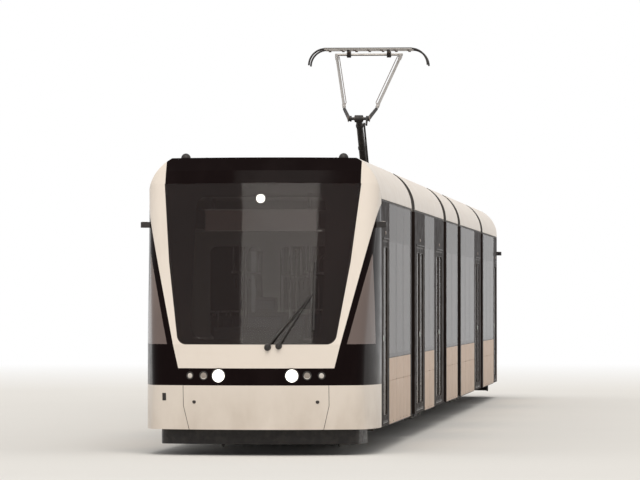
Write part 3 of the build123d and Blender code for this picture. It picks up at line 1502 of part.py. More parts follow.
def interior(module):
    """Seats, poles and ceiling lining of a module."""
    m0, m1 = MODULE_ENDS[module]
    pieces = [seat(*row[1:]) for row in SEATS if row[0] == module]
    height = CEILING_Z - SEAT_GAP - FLOOR_TOP_Z
    for name, x, y in POLES:
        if name == module:
            pieces.append(rod(x, y, FLOOR_TOP_Z + height / 2, POLE_R, height, "Z"))
    c0 = m0 + PORTAL_THICK
    c1 = m1 if module == "a" else m1 - PORTAL_THICK
    pieces.append(ceiling(c0, c1))
    return pieces


def partition():
    """Wall behind the cab, fitted under the ceiling, with a window and a glazed door opening."""
    inner = HALF_WIDTH - WALL
    edge_z = CEILING_EDGE_Z - SEAT_GAP
    sides = Polyline(
        (0, inner, edge_z), (0, inner, FLOOR_TOP_Z), (0, -inner, FLOOR_TOP_Z), (0, -inner, edge_z)
    )
    face = make_face(ceiling_edges(-SEAT_GAP) + [sides])
    near, far = WALL_PLATE_X, WALL_PLATE_X + WALL_PLATE_THICK
    wall = section_bar(face, near, far)
    for y0, y1 in (PARTITION_LEFT, PARTITION_DOOR):
        hole = box(near - 1, far + 1, y0, y1, PARTITION_SILL_Z, PARTITION_TOP_Z)
        wall = wall - fillet(hole.edges().filter_by(Axis.X), PARTITION_CORNER_R)
    return wall


def desk():
    """Driver's desk with room for the knees, a sloping edge and rounded ends."""
    knees_x = DESK_BACK_X + DESK_OVERHANG
    outline = [
        (knees_x, FLOOR_TOP_Z),
        (knees_x, DESK_EDGE_Z - 120),
        (DESK_BACK_X, DESK_EDGE_Z - 60),
        (DESK_BACK_X, DESK_EDGE_Z),
        (knees_x + 50, DESK_TOP_Z),
        (DESK_FRONT_X, DESK_TOP_Z),
        (DESK_FRONT_X, FLOOR_TOP_Z),
    ]
    block = prism(outline, "Y", -DESK_HALF, DESK_HALF)
    return fillet(block.edges().filter_by(Axis.Z).group_by(Axis.X)[0], 60)


def driver_seat():
    """Driver's seat: cushion, leaning back with a headrest and a round column."""
    x = DRIVER_X
    top = DRIVER_SEAT_Z + DRIVER_CUSHION
    cushion = box(x - 220, x + 240, -DRIVER_SEAT_HALF, DRIVER_SEAT_HALF, DRIVER_SEAT_Z, top)
    cushion = fillet(cushion.edges().group_by(Axis.Z)[-1], 35)
    lean = 80
    back_outline = [
        (x - 220, top - 40),
        (x - 130, top - 40),
        (x - 120 - lean, DRIVER_BACK_TOP_Z),
        (x - 180 - lean, DRIVER_BACK_TOP_Z),
    ]
    rest = prism(back_outline, "Y", 15 - DRIVER_SEAT_HALF, DRIVER_SEAT_HALF - 15)
    rest = fillet(rest.edges().filter_by(Axis.X).group_by(Axis.Z)[-1], 80)
    head = box(x - 182 - lean, x - 125 - lean, -130, 130, DRIVER_BACK_TOP_Z - 10, DRIVER_BACK_TOP_Z + 170)
    head = fillet(head.edges().filter_by(Axis.X), 40)
    height = DRIVER_SEAT_Z - FLOOR_TOP_Z
    column = rod(x, 0, FLOOR_TOP_Z + height / 2, 70, height, "Z")
    plate = rod(x, 0, FLOOR_TOP_Z + 15, 190, 30, "Z")
    return fuse([cushion, rest, head, column, plate])


def cab():
    """Partition, desk and driver's seat."""
    return [partition(), desk(), driver_seat()]


def build_lead_half():
    """Modules a, b and c, with the leading nose."""
    for module in ("a", "b", "c"):
        m0, m1 = MODULE_ENDS[module]
        frame = [carbody_frame(module)]
        if module == "a":
            frame = [fuse(frame + [cab_floor()])]
        add(f"carbody_frame_{module}", frame)
        if module in BOGIE_MODULES:
            for side in (1, -1):
                add(f"wheel_boxes_{module}", [wheel_box(BOGIE_MODULES[module], side)])
        add(f"roof_{module}", [roof(module)])
        add(f"interior_{module}", interior(module))
        for side in (1, -1):
            add(f"side_panels_{module}", lower_panels(module, side))
            add(f"side_panels_{module}", [cove(m0, m1, side)])
            add(f"windows_{module}", window_panes(module, side))
            frames, panes = door_leaves(module, side)
            if frames:
                add(f"doors_{module}", frames)
                add(f"windows_{module}", panes)
    add("interior_a", cab())
    bumper, mask, frame, cap, windscreen, panes, lamps = nose_pieces()
    add("front_panels_a", [bumper, frame])
    add("front_mask_a", [mask, cap])
    add("windscreen_a", [windscreen] + panes)
    add("front_fittings_a", front_fittings(lamps) + [deflector()])
    add("bogie_a", [bogie(BOGIE_SHIFT)])
    add("bogie_c", [bogie(0)])


def build_all():
    """All nodes. The trailing half is the leading half turned half round."""
    build_lead_half()
    for name in list(nodes):
        for module in ("a", "b"):
            if name.endswith("_" + module):
                add(name[:-1] + TWIN[module], turned(nodes[name]))
    number = 1
    for module_x in (BOGIE_SHIFT, 0, -BOGIE_SHIFT):
        for end in (1, -1):
            add(f"wheelset_{number}", [wheelset(module_x + end * WHEELBASE / 2)])
            number += 1
    pivots = (OUTER_PIVOT_X, INNER_PIVOT_X, -INNER_PIVOT_X, -OUTER_PIVOT_X)
    for index, pivot_x in enumerate(pivots, start=1):
        add(f"bellows_{index}", [bellows(pivot_x)])
    add("panto_base", [panto_base()])
    add("panto_lower_arm", [panto_lower_arm()])
    add("panto_upper_arm", [panto_upper_arm()])
    add("panto_guide_rod", [panto_guide_rod()])
    add("panto_head", [panto_head()])


build_all()
os.makedirs("parts", exist_ok=True)
for name, pieces in nodes.items():
    solids = []
    for piece in pieces:
        solids += piece.solids()
    export_step(Compound(label=name, children=solids), f"parts/{name}.step")
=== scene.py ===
import math

import bmesh
import bpy
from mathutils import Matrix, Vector


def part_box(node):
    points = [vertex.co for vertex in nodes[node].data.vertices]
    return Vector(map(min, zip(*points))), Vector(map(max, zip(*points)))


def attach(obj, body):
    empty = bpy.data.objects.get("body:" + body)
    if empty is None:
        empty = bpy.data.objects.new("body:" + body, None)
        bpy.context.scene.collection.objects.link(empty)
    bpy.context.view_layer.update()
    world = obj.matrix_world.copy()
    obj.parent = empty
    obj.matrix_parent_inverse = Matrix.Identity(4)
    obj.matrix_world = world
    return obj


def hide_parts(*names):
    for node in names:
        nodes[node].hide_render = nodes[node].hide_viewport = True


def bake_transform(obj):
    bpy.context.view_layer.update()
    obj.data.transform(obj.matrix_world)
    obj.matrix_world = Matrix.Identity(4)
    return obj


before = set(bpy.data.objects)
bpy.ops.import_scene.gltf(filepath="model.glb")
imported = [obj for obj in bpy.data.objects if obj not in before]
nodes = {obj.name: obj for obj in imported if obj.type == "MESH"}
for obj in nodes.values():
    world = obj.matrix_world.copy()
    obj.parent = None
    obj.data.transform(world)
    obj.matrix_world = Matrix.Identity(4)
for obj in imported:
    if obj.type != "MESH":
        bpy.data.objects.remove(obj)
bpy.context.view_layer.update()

# Places that the pieces share, in metres, in the row frame
BOTH = (1, -1)
AHEAD = (1, 0, 0)
ACROSS = (0, 1, 0)
UP = (0, 0, 1)
HALF_WIDTH = 1.325
SKIRT_Z = 0.293
BELT_Z = 1.061
GUTTER_Z = 2.866
COVE_FOOT_Z = 2.890
DECK_Z = 2.906
CEILING_Z = 2.520
END_GAP = 0.330
PIVOTS = {1: (9.23, "b", "a"), 2: (1.95, "c", "b"), 3: (-1.95, "d", "c"), 4: (-9.23, "e", "d")}
MODULE_TWINS = (("a", "a", 1), ("b", "b", 1), ("c", "c", 1), ("d", "b", -1), ("e", "a", -1))
TWIN = {"a": "e", "b": "d", "c": "c", "d": "b", "e": "a"}
TWIN_ENDS = (("a", 1), ("e", -1))
MODULE_ENDS = {
    "a": (9.56, 15.05), "b": (2.28, 8.90), "c": (-1.62, 1.62), "d": (-8.90, -2.28), "e": (-15.05, -9.56),
}
# Nose and windscreen
NOSE_X = 16.3
NOSE_FRONT_R = 2.6
NOSE_SECTIONS = ((0.293, 0.080), (0.786, 0.0), (1.241, 0.030), (3.055, 0.700), (3.200, 0.780), (3.350, 0.900))
SCREEN_SIDES = ((1.241, 0.880), (2.165, 1.025), (3.055, 1.118))
SCREEN_BOTTOM_Z = 1.241
CREASE_Z = 3.055
SCREEN_CORNER_R = 0.110
PRINT_INSET = 0.0135
PRINT_INNER_HALF = 0.735
PRINT_CORNER_R = 0.16
SIGN_HALF = 0.64
SIGN_Z = (2.506, 2.762)
SIGN_RIM = 0.014
MARKER_Z = 2.88
LAMP_Z = 0.895
FRONT_LAMPS = ((0.410, 0.078, 1), (0.578, 0.046, 3), (0.735, 0.038, 2))
WIPER_FEET = ((0.139, 1.211), (0.262, 1.226))
BLADE_Y = 0.640
BLADE_Z = (1.400, 2.160)
COVER_Y = 0.69
COVER_Z = 0.603
BUMPER_SEAM = ((0.8145, 0.785), (0.8145, 0.560), (0.7525, 0.294))
HATCH = (-1.038, 0.658)
HATCH_HALF = (0.019, 0.04)
SCREEN_BAR = (-0.70, -0.47, 1.315)
CAP_BACK_X = 15.046
CAP_BACK_OUTLINE = ((1.270, 2.908), (1.262, 3.0), (1.222, 3.12), (1.152, 3.22), (1.03, 3.30))
CAMERA_ARM = (15.25, 2.59)
# Sides: zones of a module along X, the other side being its twin's, turned half round
SIDE_ZONES = {
    "a": (("window", 9.80, 13.72), ("single", 13.72, 15.05)),
    "b": (("double", 2.28, 4.60), ("window", 4.60, 6.76), ("double", 6.76, 8.90)),
    "c": (("window", -1.50, 1.50),),
    "d": (("double", -8.90, -6.70), ("window", -6.70, -2.52)),
    "e": (("single", -15.05, -13.72), ("window", -13.72, -9.80)),
}
DOOR_WIDTHS = {"single": 0.8, "double": 1.5}
WINDOW_PITCH = 1.4
PANE_GAP = 0.008
GLASS_THICK = 0.008
DOOR_TOP_Z = 2.425
DOOR_SILL_Z = 0.326
LEAF_FACE = 1.323
LEAF_THICK = 0.04
LEAF_FRAME = 0.075
LEAF_CORNER_R = 0.06
LEAF_GAP = 0.006
BUTTON_Z = 1.30
PANEL_BOLT_Z = 0.318
# Roof gear: module, start and end along X, half width, height above the deck, kind of lid
ROOF_GEAR = (
    ("a", 9.75, 11.25, 0.82, 0.43, "lid"), ("a", 11.40, 12.60, 0.76, 0.36, "slots"),
    ("a", 12.80, 14.40, 0.88, 0.43, "fans"), ("b", 2.50, 4.30, 0.86, 0.43, "fans"),
    ("b", 4.45, 6.60, 0.82, 0.40, "lid"), ("b", 6.75, 8.70, 0.86, 0.43, "slots"),
    ("c", -1.50, 1.50, 0.56, 0.38, "lid"),
)
LID_PITCH = 0.5
FAN_SHARES = (0.27, 0.73)
FAN_R = 0.27
FAN_HUB_R = 0.07
SLOT_PITCH = 0.09
SLOT_MARGIN = 0.17
TRUNK_Y = (0.925, 1.005)
TRUNK_TOP_Z = 2.976
# Bogies and wheels
BOGIES = {"a": 12.1, "c": 0.0, "e": -12.1}
WHEELBASE = 1.8
AXLES_X = [middle + end * WHEELBASE / 2 for middle in BOGIES.values() for end in BOTH]
AXLE_Z = 0.325
BOGIE_SIDE_Y = 0.9125
BOX_BOLT_Y = 0.950
GEARBOX_FACE_Y = 1.120
GEARBOX_LID_R = 0.095
BEARING_FACE_Y = 1.0805
PRIMARY_X = 0.14
PRIMARY_Z = (0.294, 0.379)
MOTOR_Y = 1.08
MOTOR_Z = 0.30
MOTOR_TOP_Z = 0.425
WHEEL_FACE_Y = 0.790
RING_FACE_Y = 0.749
HUB_FACE_Y = 0.805
# Pantograph
KNUCKLE = (0.63, 4.385)
HEAD = (-1.43, 5.43)
HEAD_STRIP_X = 0.18
HEAD_STRIP_WIDTH = 0.06
HEAD_STRAIGHT_HALF = 0.66
HEAD_TOP_Z = 5.525
YOKE_LENGTH = 0.336
YOKE_HALF = 0.233
UPPER_TUBE_TOP_Y = 0.49
PANTO_BASE = (-0.65, 3.575)
PANTO_FOOT_Z = 3.286
PANTO_RAIL_Y = 0.43
PANTO_RAIL_Z = 3.44
PANTO_RAIL_TOP_Z = 3.49
PANTO_FEET_X = (-1.0, 0.5)
PANTO_SPRING_Z = 3.545
DAMPER_Y = -0.32
DAMPER_Z = 3.53
# Saloon and cab
WALL_PLATE_X = 14.855
POLE_Y = 0.42
POLE_PLACES = (13.7, 10.4, 3.0, 3.9, 7.2, 8.3)
RAIL_Z = 2.06
BENCH_WALL_Y = 1.24
BENCH_ROW = {
    "a": ((10.92, 1), (11.84, -1), (12.36, 1), (13.28, -1)),
    "c": ((-1.19, 1), (-0.26, -1), (0.26, 1), (1.19, -1)),
}
# Benches of a module: edge at the aisle, then side, place along X and way that each one faces
BENCHES = {key: (0.65, [(side, *bench) for side in BOTH for bench in row]) for key, row in BENCH_ROW.items()}
BENCHES["b"] = (
    0.40, [(1, 4.85, 1), (1, 6.50, -1), (-1, 2.85, 1), (-1, 4.33, -1), (-1, 4.85, 1), (-1, 6.40, -1)],
)
SEAT_SPLIT = 0.026
SEAT_HANDLE = (
    (-0.275, 0, 1.38), (-0.268, 0, 1.50), (-0.255, 0, 1.575), (-0.235, 0, 1.60), (-0.19, 0, 1.60),
    (-0.193, 0.045, 1.60), (-0.196, 0.09, 1.60), (-0.199, 0.135, 1.60), (-0.202, 0.18, 1.60),
    (-0.205, 0.20, 1.54),
)
CUSHION_SPINE = ((-0.118, 0.899), (-0.03, 0.887), (0.05, 0.883), (0.13, 0.889), (0.2, 0.899))
BACK_SPINE = ((-0.205, 1.515), (-0.187, 1.36), (-0.171, 1.22), (-0.160, 1.10), (-0.147, 0.95))
DRIVER_X = 15.18
DRIVER_CUSHION_SPINE = ((-0.115, 0.961), (0.0, 0.961), (0.11, 0.961), (0.215, 0.961))
DRIVER_BACK_SPINE = ((-0.196, 1.56), (-0.17, 1.36), (-0.148, 1.18), (-0.130, 1.02))
DRIVER_HEAD_SPINE = ((-0.205, 1.745), (-0.205, 1.69), (-0.205, 1.625))
DESK_TOP_Z = 1.198
LEVER_X = 15.74
LIGHT_END_X = 14.83
CONSOLE = ((15.80, 1.245), (15.775, 1.26), (15.855, 1.43), (15.91, 1.40), (15.93, 1.245))


def across(axis):
    """The axis at length one, and two directions square to it."""
    axis = Vector(axis).normalized()
    side = axis.orthogonal().normalized()
    return axis, side, axis.cross(side)


def circle(count, closed=0):
    """Cosine and sine of even steps round a circle."""
    angles = [2 * math.pi * i / count for i in range(count + closed)]
    return [(math.cos(angle), math.sin(angle)) for angle in angles]


def along(start, end, share):
    """Point at a share of the way from start to end."""
    return tuple(a + (b - a) * share for a, b in zip(start, end))


def spread(start, end, pitch):
    """Even places from start to end, about a pitch apart."""
    count = max(1, round((end - start) / pitch))
    return [start + (end - start) * i / count for i in range(count + 1)]


class Mesh:
    """Collects faces, each with a material number, and makes one object of them."""

    def __init__(self, turn=1):
        self.verts, self.faces, self.marks, self.smooth = [], [], [], []
        self.turn = turn

    def add(self, verts, faces, mark=0, smooth=False):
        start = len(self.verts)
        self.verts += [(v[0] * self.turn, v[1] * self.turn, v[2]) for v in verts]
        self.faces += [tuple(start + i for i in face) for face in faces]
        self.marks += [mark] * len(faces)
        self.smooth += [smooth] * len(faces)

    def box(self, x0, x1, y0, y1, z0, z1, mark=0):
        spans = [sorted(span) for span in ((x0, x1), (y0, y1), (z0, z1))]
        verts = [(x, y, z) for x in spans[0] for y in spans[1] for z in spans[2]]
        faces = [(0, 1, 3, 2), (4, 6, 7, 5), (0, 4, 5, 1), (2, 3, 7, 6), (0, 2, 6, 4), (1, 5, 7, 3)]
        self.add(verts, faces, mark)

    def prism(self, near, far, mark=0):
        """Flat-sided block between two equal outlines."""
        count = len(near)
        faces = [tuple(reversed(range(count))), tuple(range(count, 2 * count))]
        faces += [(i, (i + 1) % count, (i + 1) % count + count, i + count) for i in range(count)]
        self.add([*near, *far], faces, mark)

    def skin(self, rings, mark=0, start_cap=True, end_cap=True):
        """Smooth skin over closed rings of points."""
        count = len(rings[0])
        faces = []
        for low in range(0, (len(rings) - 1) * count, count):
            for i in range(count):
                j = (i + 1) % count
                faces.append((low + i, low + j, low + count + j, low + count + i))
        if start_cap:
            faces.append(tuple(reversed(range(count))))
        if end_cap:
            faces.append(tuple(range((len(rings) - 1) * count, len(rings) * count)))
        self.add([point for points in rings for point in points], faces, mark, smooth=True)

    def soft_box(self, x0, x1, y0, y1, z0, z1, edge, mark=0):
        """Block with round edges."""
        spans = [sorted(span) for span in ((x0, x1), (y0, y1), (z0, z1))]
        cx, cy, cz = ((low + high) / 2 for low, high in spans)
        hx, hy, hz = ((high - low) / 2 for low, high in spans)
        steps = 4
        levels = [math.pi / 2 * i / steps for i in range(steps + 1)]
        rims = [(hz - edge + edge * math.cos(a), edge * (1 - math.sin(a))) for a in levels]
        outline = []
        for wx, wy, start in ((1, 1, 0), (-1, 1, 90), (-1, -1, 180), (1, -1, 270)):
            for i in range(steps + 1):
                angle = math.radians(start + 90 * i / steps)
                outline.append((wx, wy, math.cos(angle), math.sin(angle)))
        rings = []
        for z, inset in [(-z, inset) for z, inset in rims] + rims[::-1]:
            r = max(edge - inset, 0.0)
            rings.append([
                (cx + wx * (hx - edge) + r * c, cy + wy * (hy - edge) + r * s, cz + z)
                for wx, wy, c, s in outline
            ])
        self.skin(rings, mark)

    def lathe(self, points, start, axis, mark=0, segments=24):
        """Surface of revolution: points of distance along the axis and radius."""
        axis, side, other = across(axis)
        rings = []
        for along, radius in points:
            middle, reach = Vector(start) + axis * along, max(radius, 1e-5)
            rings.append([middle + (side * c + other * s) * reach for c, s in circle(segments)])
        self.skin(rings, mark, points[0][1] > 1e-4, points[-1][1] > 1e-4)

    def rod(self, start, end, radius, mark=0, segments=12):
        way = Vector(end) - Vector(start)
        self.lathe([(0, radius), (way.length, radius)], start, way, mark, segments)

    def tube(self, path, radius, mark=0, segments=8):
        """Round tube along points, with mitred corners."""
        points = [Vector(p) for p in path]
        rings, side = [], None
        for i, point in enumerate(points):
            way = (points[min(i + 1, len(points) - 1)] - points[max(i - 1, 0)]).normalized()
            side = side or way.orthogonal().normalized()
            side = (side - way * side.dot(way)).normalized()
            other = way.cross(side)
            rings.append([point + (side * c + other * s) * radius for c, s in circle(segments)])
        self.skin(rings, mark)

    def grid(self, rows, mark=0, smooth=True, flip=False):
        """Sheet through rows of points."""
        width = len(rows[0])
        faces = []
        for r in range(len(rows) - 1):
            for c in range(width - 1):
                face = (r * width + c, r * width + c + 1, (r + 1) * width + c + 1, (r + 1) * width + c)
                faces.append(face[::-1] if flip else face)
        self.add([point for row in rows for point in row], faces, mark, smooth)

    def ring(self, centre, axis, radius, thick, mark=0, steps=28, sides=6):
        """Closed round wire."""
        axis, side, other = across(axis)
        rows = []
        for c, s in circle(steps, 1):
            ray = side * c + other * s
            middle = Vector(centre) + ray * radius
            rows.append([middle + ray * thick * tc + axis * thick * ts for tc, ts in circle(sides, 1)])
        self.grid(rows, mark)

    def coil(self, start, end, cos_reach, sin_reach, turns, steps, wire, mark, sides):
        """Helical spring about the line from start to end."""
        path = []
        for i in range(turns * steps + 1):
            angle = 2 * math.pi * i / steps
            c, s = math.cos(angle), math.sin(angle)
            middle = along(start, end, i / (turns * steps))
            path.append([m + a * c + b * s for m, a, b in zip(middle, cos_reach, sin_reach)])
        self.tube(path, wire, mark, sides)

    def bolt(self, at, axis, radius, height, mark=1):
        """Six-sided bolt head on a washer."""
        self.lathe([(-0.001, radius * 1.5), (height * 0.25, radius * 1.5)], at, axis, mark, 14)
        head = [(height * 0.25, radius), (height * 0.85, radius), (height, radius * 0.8)]
        self.lathe(head, at, axis, mark, 6)

    def bolt_ring(self, centre, axis, radius, count, size, mark=1):
        axis, side, other = across(axis)
        for c, s in circle(count):
            self.bolt(Vector(centre) + (side * c + other * s) * radius, axis, size, size, mark)

    def make(self, name, body, materials, weld=False):
        data = bpy.data.meshes.new(name)
        data.from_pydata(self.verts, [], self.faces)
        for material in materials:
            data.materials.append(material)
        data.polygons.foreach_set("material_index", self.marks)
        data.polygons.foreach_set("use_smooth", self.smooth)
        data.validate()
        shape = bmesh.new()
        shape.from_mesh(data)
        if weld:
            bmesh.ops.remove_doubles(shape, verts=shape.verts, dist=1e-5)
        bmesh.ops.recalc_face_normals(shape, faces=shape.faces)
        shape.to_mesh(data)
        shape.free()
        data.update()
        piece = bpy.data.objects.new(name, data)
        bpy.context.scene.collection.objects.link(piece)
        if body:
            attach(piece, body)
        return piece

    def fit(self, kind, letter, materials, weld=False):
        """Makes a piece that rides on the module of its letter."""
        return self.make(f"{kind}_{letter}", f"module_{letter}", materials, weld)


# Materials
class Finish:
    """A procedural material: one principled shader with noise in colour, roughness and bump."""

    def __init__(self, name, color, roughness, metallic=0.0, glow=None, **sockets):
        self.material = bpy.data.materials.new(name)
        self.material.use_nodes = True
        self.tree = self.material.node_tree
        self.shader = self.tree.nodes["Principled BSDF"]
        self.color = (*color, 1.0)
        sockets.update(Base_Color=self.color, Roughness=roughness, Metallic=metallic)
        if glow:
            sockets["Emission_Color"] = (*glow, 1.0)
        for key, value in sockets.items():
            self.shader.inputs[key.replace("_", " ")].default_value = value
        self.coords = self.tree.nodes.new("ShaderNodeTexCoord").outputs["Object"]
        self.color_link = None
        self.normal_link = None

    def node(self, kind, **values):
        made = self.tree.nodes.new(kind)
        for key, value in values.items():
            setattr(made, key, value)
        return made

    def link(self, source, target):
        self.tree.links.new(source, target)

    def noise(self, scale, detail, stretch=(1, 1, 1)):
        mapping = self.node("ShaderNodeMapping")
        mapping.inputs["Scale"].default_value = stretch
        self.link(self.coords, mapping.inputs["Vector"])
        made = self.node("ShaderNodeTexNoise")
        for key, value in (("Scale", scale), ("Detail", detail), ("Roughness", 0.55)):
            made.inputs[key].default_value = value
        self.link(mapping.outputs["Vector"], made.inputs["Vector"])
        return made.outputs["Fac"]

    def ribs(self, scale, direction):
        """Fine parallel ribs across one axis."""
        made = self.node("ShaderNodeTexWave", bands_direction=direction)
        made.inputs["Scale"].default_value = scale / (2 * math.pi)
        made.inputs["Distortion"].default_value = 0.6
        self.link(self.coords, made.inputs["Vector"])
        return made.outputs["Fac"]

    def ramp(self, source, low, high, out_low=0.0, out_high=1.0):
        made = self.node("ShaderNodeMapRange")
        for key, value in (("From Min", low), ("From Max", high), ("To Min", out_low), ("To Max", out_high)):
            made.inputs[key].default_value = value
        self.link(source, made.inputs["Value"])
        return made.outputs["Result"]

    def axis(self, which):
        made = self.node("ShaderNodeSeparateXYZ")
        self.link(self.coords, made.inputs["Vector"])
        return made.outputs[which]

    def times(self, a, b):
        made = self.node("ShaderNodeMath", operation="MULTIPLY")
        self.link(a, made.inputs[0])
        if isinstance(b, float):
            made.inputs[1].default_value = b
        else:
            self.link(b, made.inputs[1])
        return made.outputs[0]

    def tint(self, factor, color):
        """Mixes a second colour in by a factor."""
        made = self.node("ShaderNodeMix", data_type="RGBA")
        if self.color_link is None:
            made.inputs[6].default_value = self.color
        else:
            self.link(self.color_link, made.inputs[6])
        made.inputs[7].default_value = (*color, 1.0)
        self.link(factor, made.inputs[0])
        self.color_link = made.outputs[2]
        self.link(self.color_link, self.shader.inputs["Base Color"])

    def patches(self, scale, detail, low, high, amount, color, *stretch):
        self.tint(self.ramp(self.noise(scale, detail, *stretch), low, high, 0.0, amount), color)

    def dirt(self, top, color, amount):
        """Grime that rises from below, broken up by noise."""
        height = self.ramp(self.axis("Z"), top, 0.15)
        broken = self.ramp(self.noise(2.6, 5.0, (1, 1, 0.6)), 0.3, 0.75)
        self.tint(self.times(self.times(height, broken), amount), color)

    def gloss(self, scale, detail, low, high, *stretch):
        rough = self.ramp(self.noise(scale, detail, *stretch), 0.3, 0.7, low, high)
        self.link(rough, self.shader.inputs["Roughness"])

    def bump(self, height, strength, distance):
        made = self.node("ShaderNodeBump")
        made.inputs["Strength"].default_value = strength
        made.inputs["Distance"].default_value = distance
        self.link(height, made.inputs["Height"])
        if self.normal_link is not None:
            self.link(self.normal_link, made.inputs["Normal"])
        self.normal_link = made.outputs["Normal"]
        self.link(self.normal_link, self.shader.inputs["Normal"])

    def grain(self, scale, detail, strength, distance, *stretch):
        self.bump(self.noise(scale, detail, *stretch), strength, distance)


def finish(name, color, roughness, patches, gloss, grains, metallic=0.0, dirt=None, glow=None, **sockets):
    """Material with patches of other colours, dirt from below, uneven gloss and fine grain."""
    made = Finish(name, color, roughness, metallic, glow, **sockets)
    for patch in patches:
        made.patches(*patch)
    if dirt:
        made.dirt(*dirt)
    made.gloss(*gloss)
    for grain in grains:
        made.grain(*grain)
    return made.material


def paint_white(name, color, level):
    worn = tuple(0.93 * part for part in color)
    return finish(
        name, color, 0.38,
        [(0.7, 2.0, 0.35, 0.7, 0.4, worn), (5.0, 5.0, 0.55, 0.8, 0.16, (0.50, 0.42, 0.34), (1, 1, 0.2))],
        (6.0, 4.0, 0.3, 0.46), [(260.0, 1.0, 0.04, 0.0006), (1.6, 1.0, 0.05, 0.01)],
        dirt=(0.85, (0.36, 0.28, 0.215), 0.6), Specular_IOR_Level=level,
    )


def glass(name, color, alpha, level):
    """Tinted pane: part of the light passes, the rest meets a dark glossy film."""
    film = tuple(c * 2.2 for c in color)
    return finish(
        name, color, 0.04, [(1.2, 2.0, 0.45, 0.75, 0.35, film, (1, 1, 0.5))],
        (3.0, 1.0, 0.03, 0.06), [(0.6, 0.0, 0.01, 0.002)], Alpha=alpha, Specular_IOR_Level=level,
    )


def lamp_lens(name, color, strength):
    dull = tuple(0.85 * part for part in color)
    return finish(
        name, color, 0.12, [(60.0, 1.0, 0.4, 0.6, 0.4, dull)],
        (40.0, 1.0, 0.08, 0.2), [(90.0, 0.0, 0.2, 0.002)],
        glow=(1.0, 0.95, 0.86), Emission_Strength=strength,
    )


def printed_border():
    """Black ceramic print, with the lining behind it showing a little lower down."""
    made = Finish("printed_border", (0.010, 0.007, 0.007), 0.35, Specular_IOR_Level=0.3)
    low = made.ramp(made.axis("Z"), 2.25, 1.45)
    made.tint(made.times(low, made.ramp(made.noise(3.0, 3.0, (1, 1, 0.4)), 0.3, 0.8)), (0.11, 0.085, 0.075))
    made.gloss(6.0, 3.0, 0.25, 0.45)
    made.grain(300.0, 1.0, 0.05, 0.0003)
    return made.material


def sign_glass():
    """Dark blank display behind a smooth cover, turning lighter grey towards +Y from a painted reflection."""
    made = Finish("sign_glass", (0.13, 0.08, 0.06), 0.2, glow=(0.9, 0.66, 0.6), Emission_Strength=0.05)
    # Painted reflection: the display turns lighter grey towards +Y.
    made.tint(made.ramp(made.axis("Y"), -0.25, 0.1, 0.0, 0.8), (0.50, 0.46, 0.46))
    made.gloss(8.0, 2.0, 0.12, 0.3)
    made.grain(420.0, 0.0, 0.06, 0.0004)
    return made.material


def seat_cloth():
    """Woven cover: fine ribs both ways, with a second yarn showing through in patches."""
    made = Finish("seat_cloth", (0.085, 0.098, 0.14), 0.9, Sheen_Weight=0.25)
    weave = made.times(made.ribs(900.0, "Y"), made.ribs(900.0, "Z"))
    made.tint(made.ramp(weave, 0.1, 0.7, 0.0, 0.7), (0.17, 0.17, 0.19))
    made.patches(38.0, 2.0, 0.52, 0.62, 0.5, (0.16, 0.11, 0.085))
    made.gloss(14.0, 3.0, 0.8, 0.95)
    made.bump(weave, 0.5, 0.0008)
    made.grain(9.0, 3.0, 0.3, 0.004)
    return made.material


def light_strip():
    made = Finish("light_strip", (0.85, 0.83, 0.79), 0.4, glow=(1.0, 0.95, 0.88), Emission_Strength=0.7)
    made.patches(40.0, 1.0, 0.4, 0.6, 0.2, (0.78, 0.76, 0.72))
    made.gloss(60.0, 1.0, 0.3, 0.5)
    made.bump(made.ribs(400.0, "X"), 0.2, 0.0005)
    return made.material


WHITE = paint_white("paint_white", (0.74, 0.67, 0.60), 0.18)
# Lower side panels: a darker, warmer copy of the white paint, with painted shade for the grazing light on the
# sides and painted warm bounce light from the ground.
SHADED_SIDE_WHITE = paint_white("side_white_painted_shade", (0.60, 0.455, 0.355), 0.02)
BLACK = finish(
    "paint_black", (0.016, 0.011, 0.010), 0.45,
    [(4.0, 4.0, 0.45, 0.8, 0.5, (0.034, 0.024, 0.021), (1, 1, 0.3))],
    (8.0, 4.0, 0.38, 0.55), [(220.0, 1.0, 0.04, 0.0006)],
    dirt=(0.8, (0.055, 0.042, 0.034), 0.45), Specular_IOR_Level=0.012,
)
MASK = finish(
    "mask_black", (0.006, 0.003, 0.003), 0.16,
    [(2.0, 5.0, 0.5, 0.85, 0.5, (0.016, 0.010, 0.010), (1, 1, 0.4))],
    (5.0, 4.0, 0.1, 0.26), [(1.3, 1.0, 0.05, 0.01)], Specular_IOR_Level=0.03,
)
ROOF = finish(
    "roof_grey", (0.33, 0.31, 0.29), 0.6,
    [(1.7, 5.0, 0.4, 0.75, 0.6, (0.24, 0.22, 0.2)), (14.0, 5.0, 0.55, 0.8, 0.5, (0.13, 0.115, 0.10))],
    (9.0, 3.0, 0.45, 0.75), [(90.0, 3.0, 0.15, 0.001)],
)
SIDE_GLASS = glass("side_glass", (0.050, 0.034, 0.027), 0.64, 0.004)
SCREEN_GLASS = glass("screen_glass", (0.014, 0.008, 0.007), 0.55, 0.22)
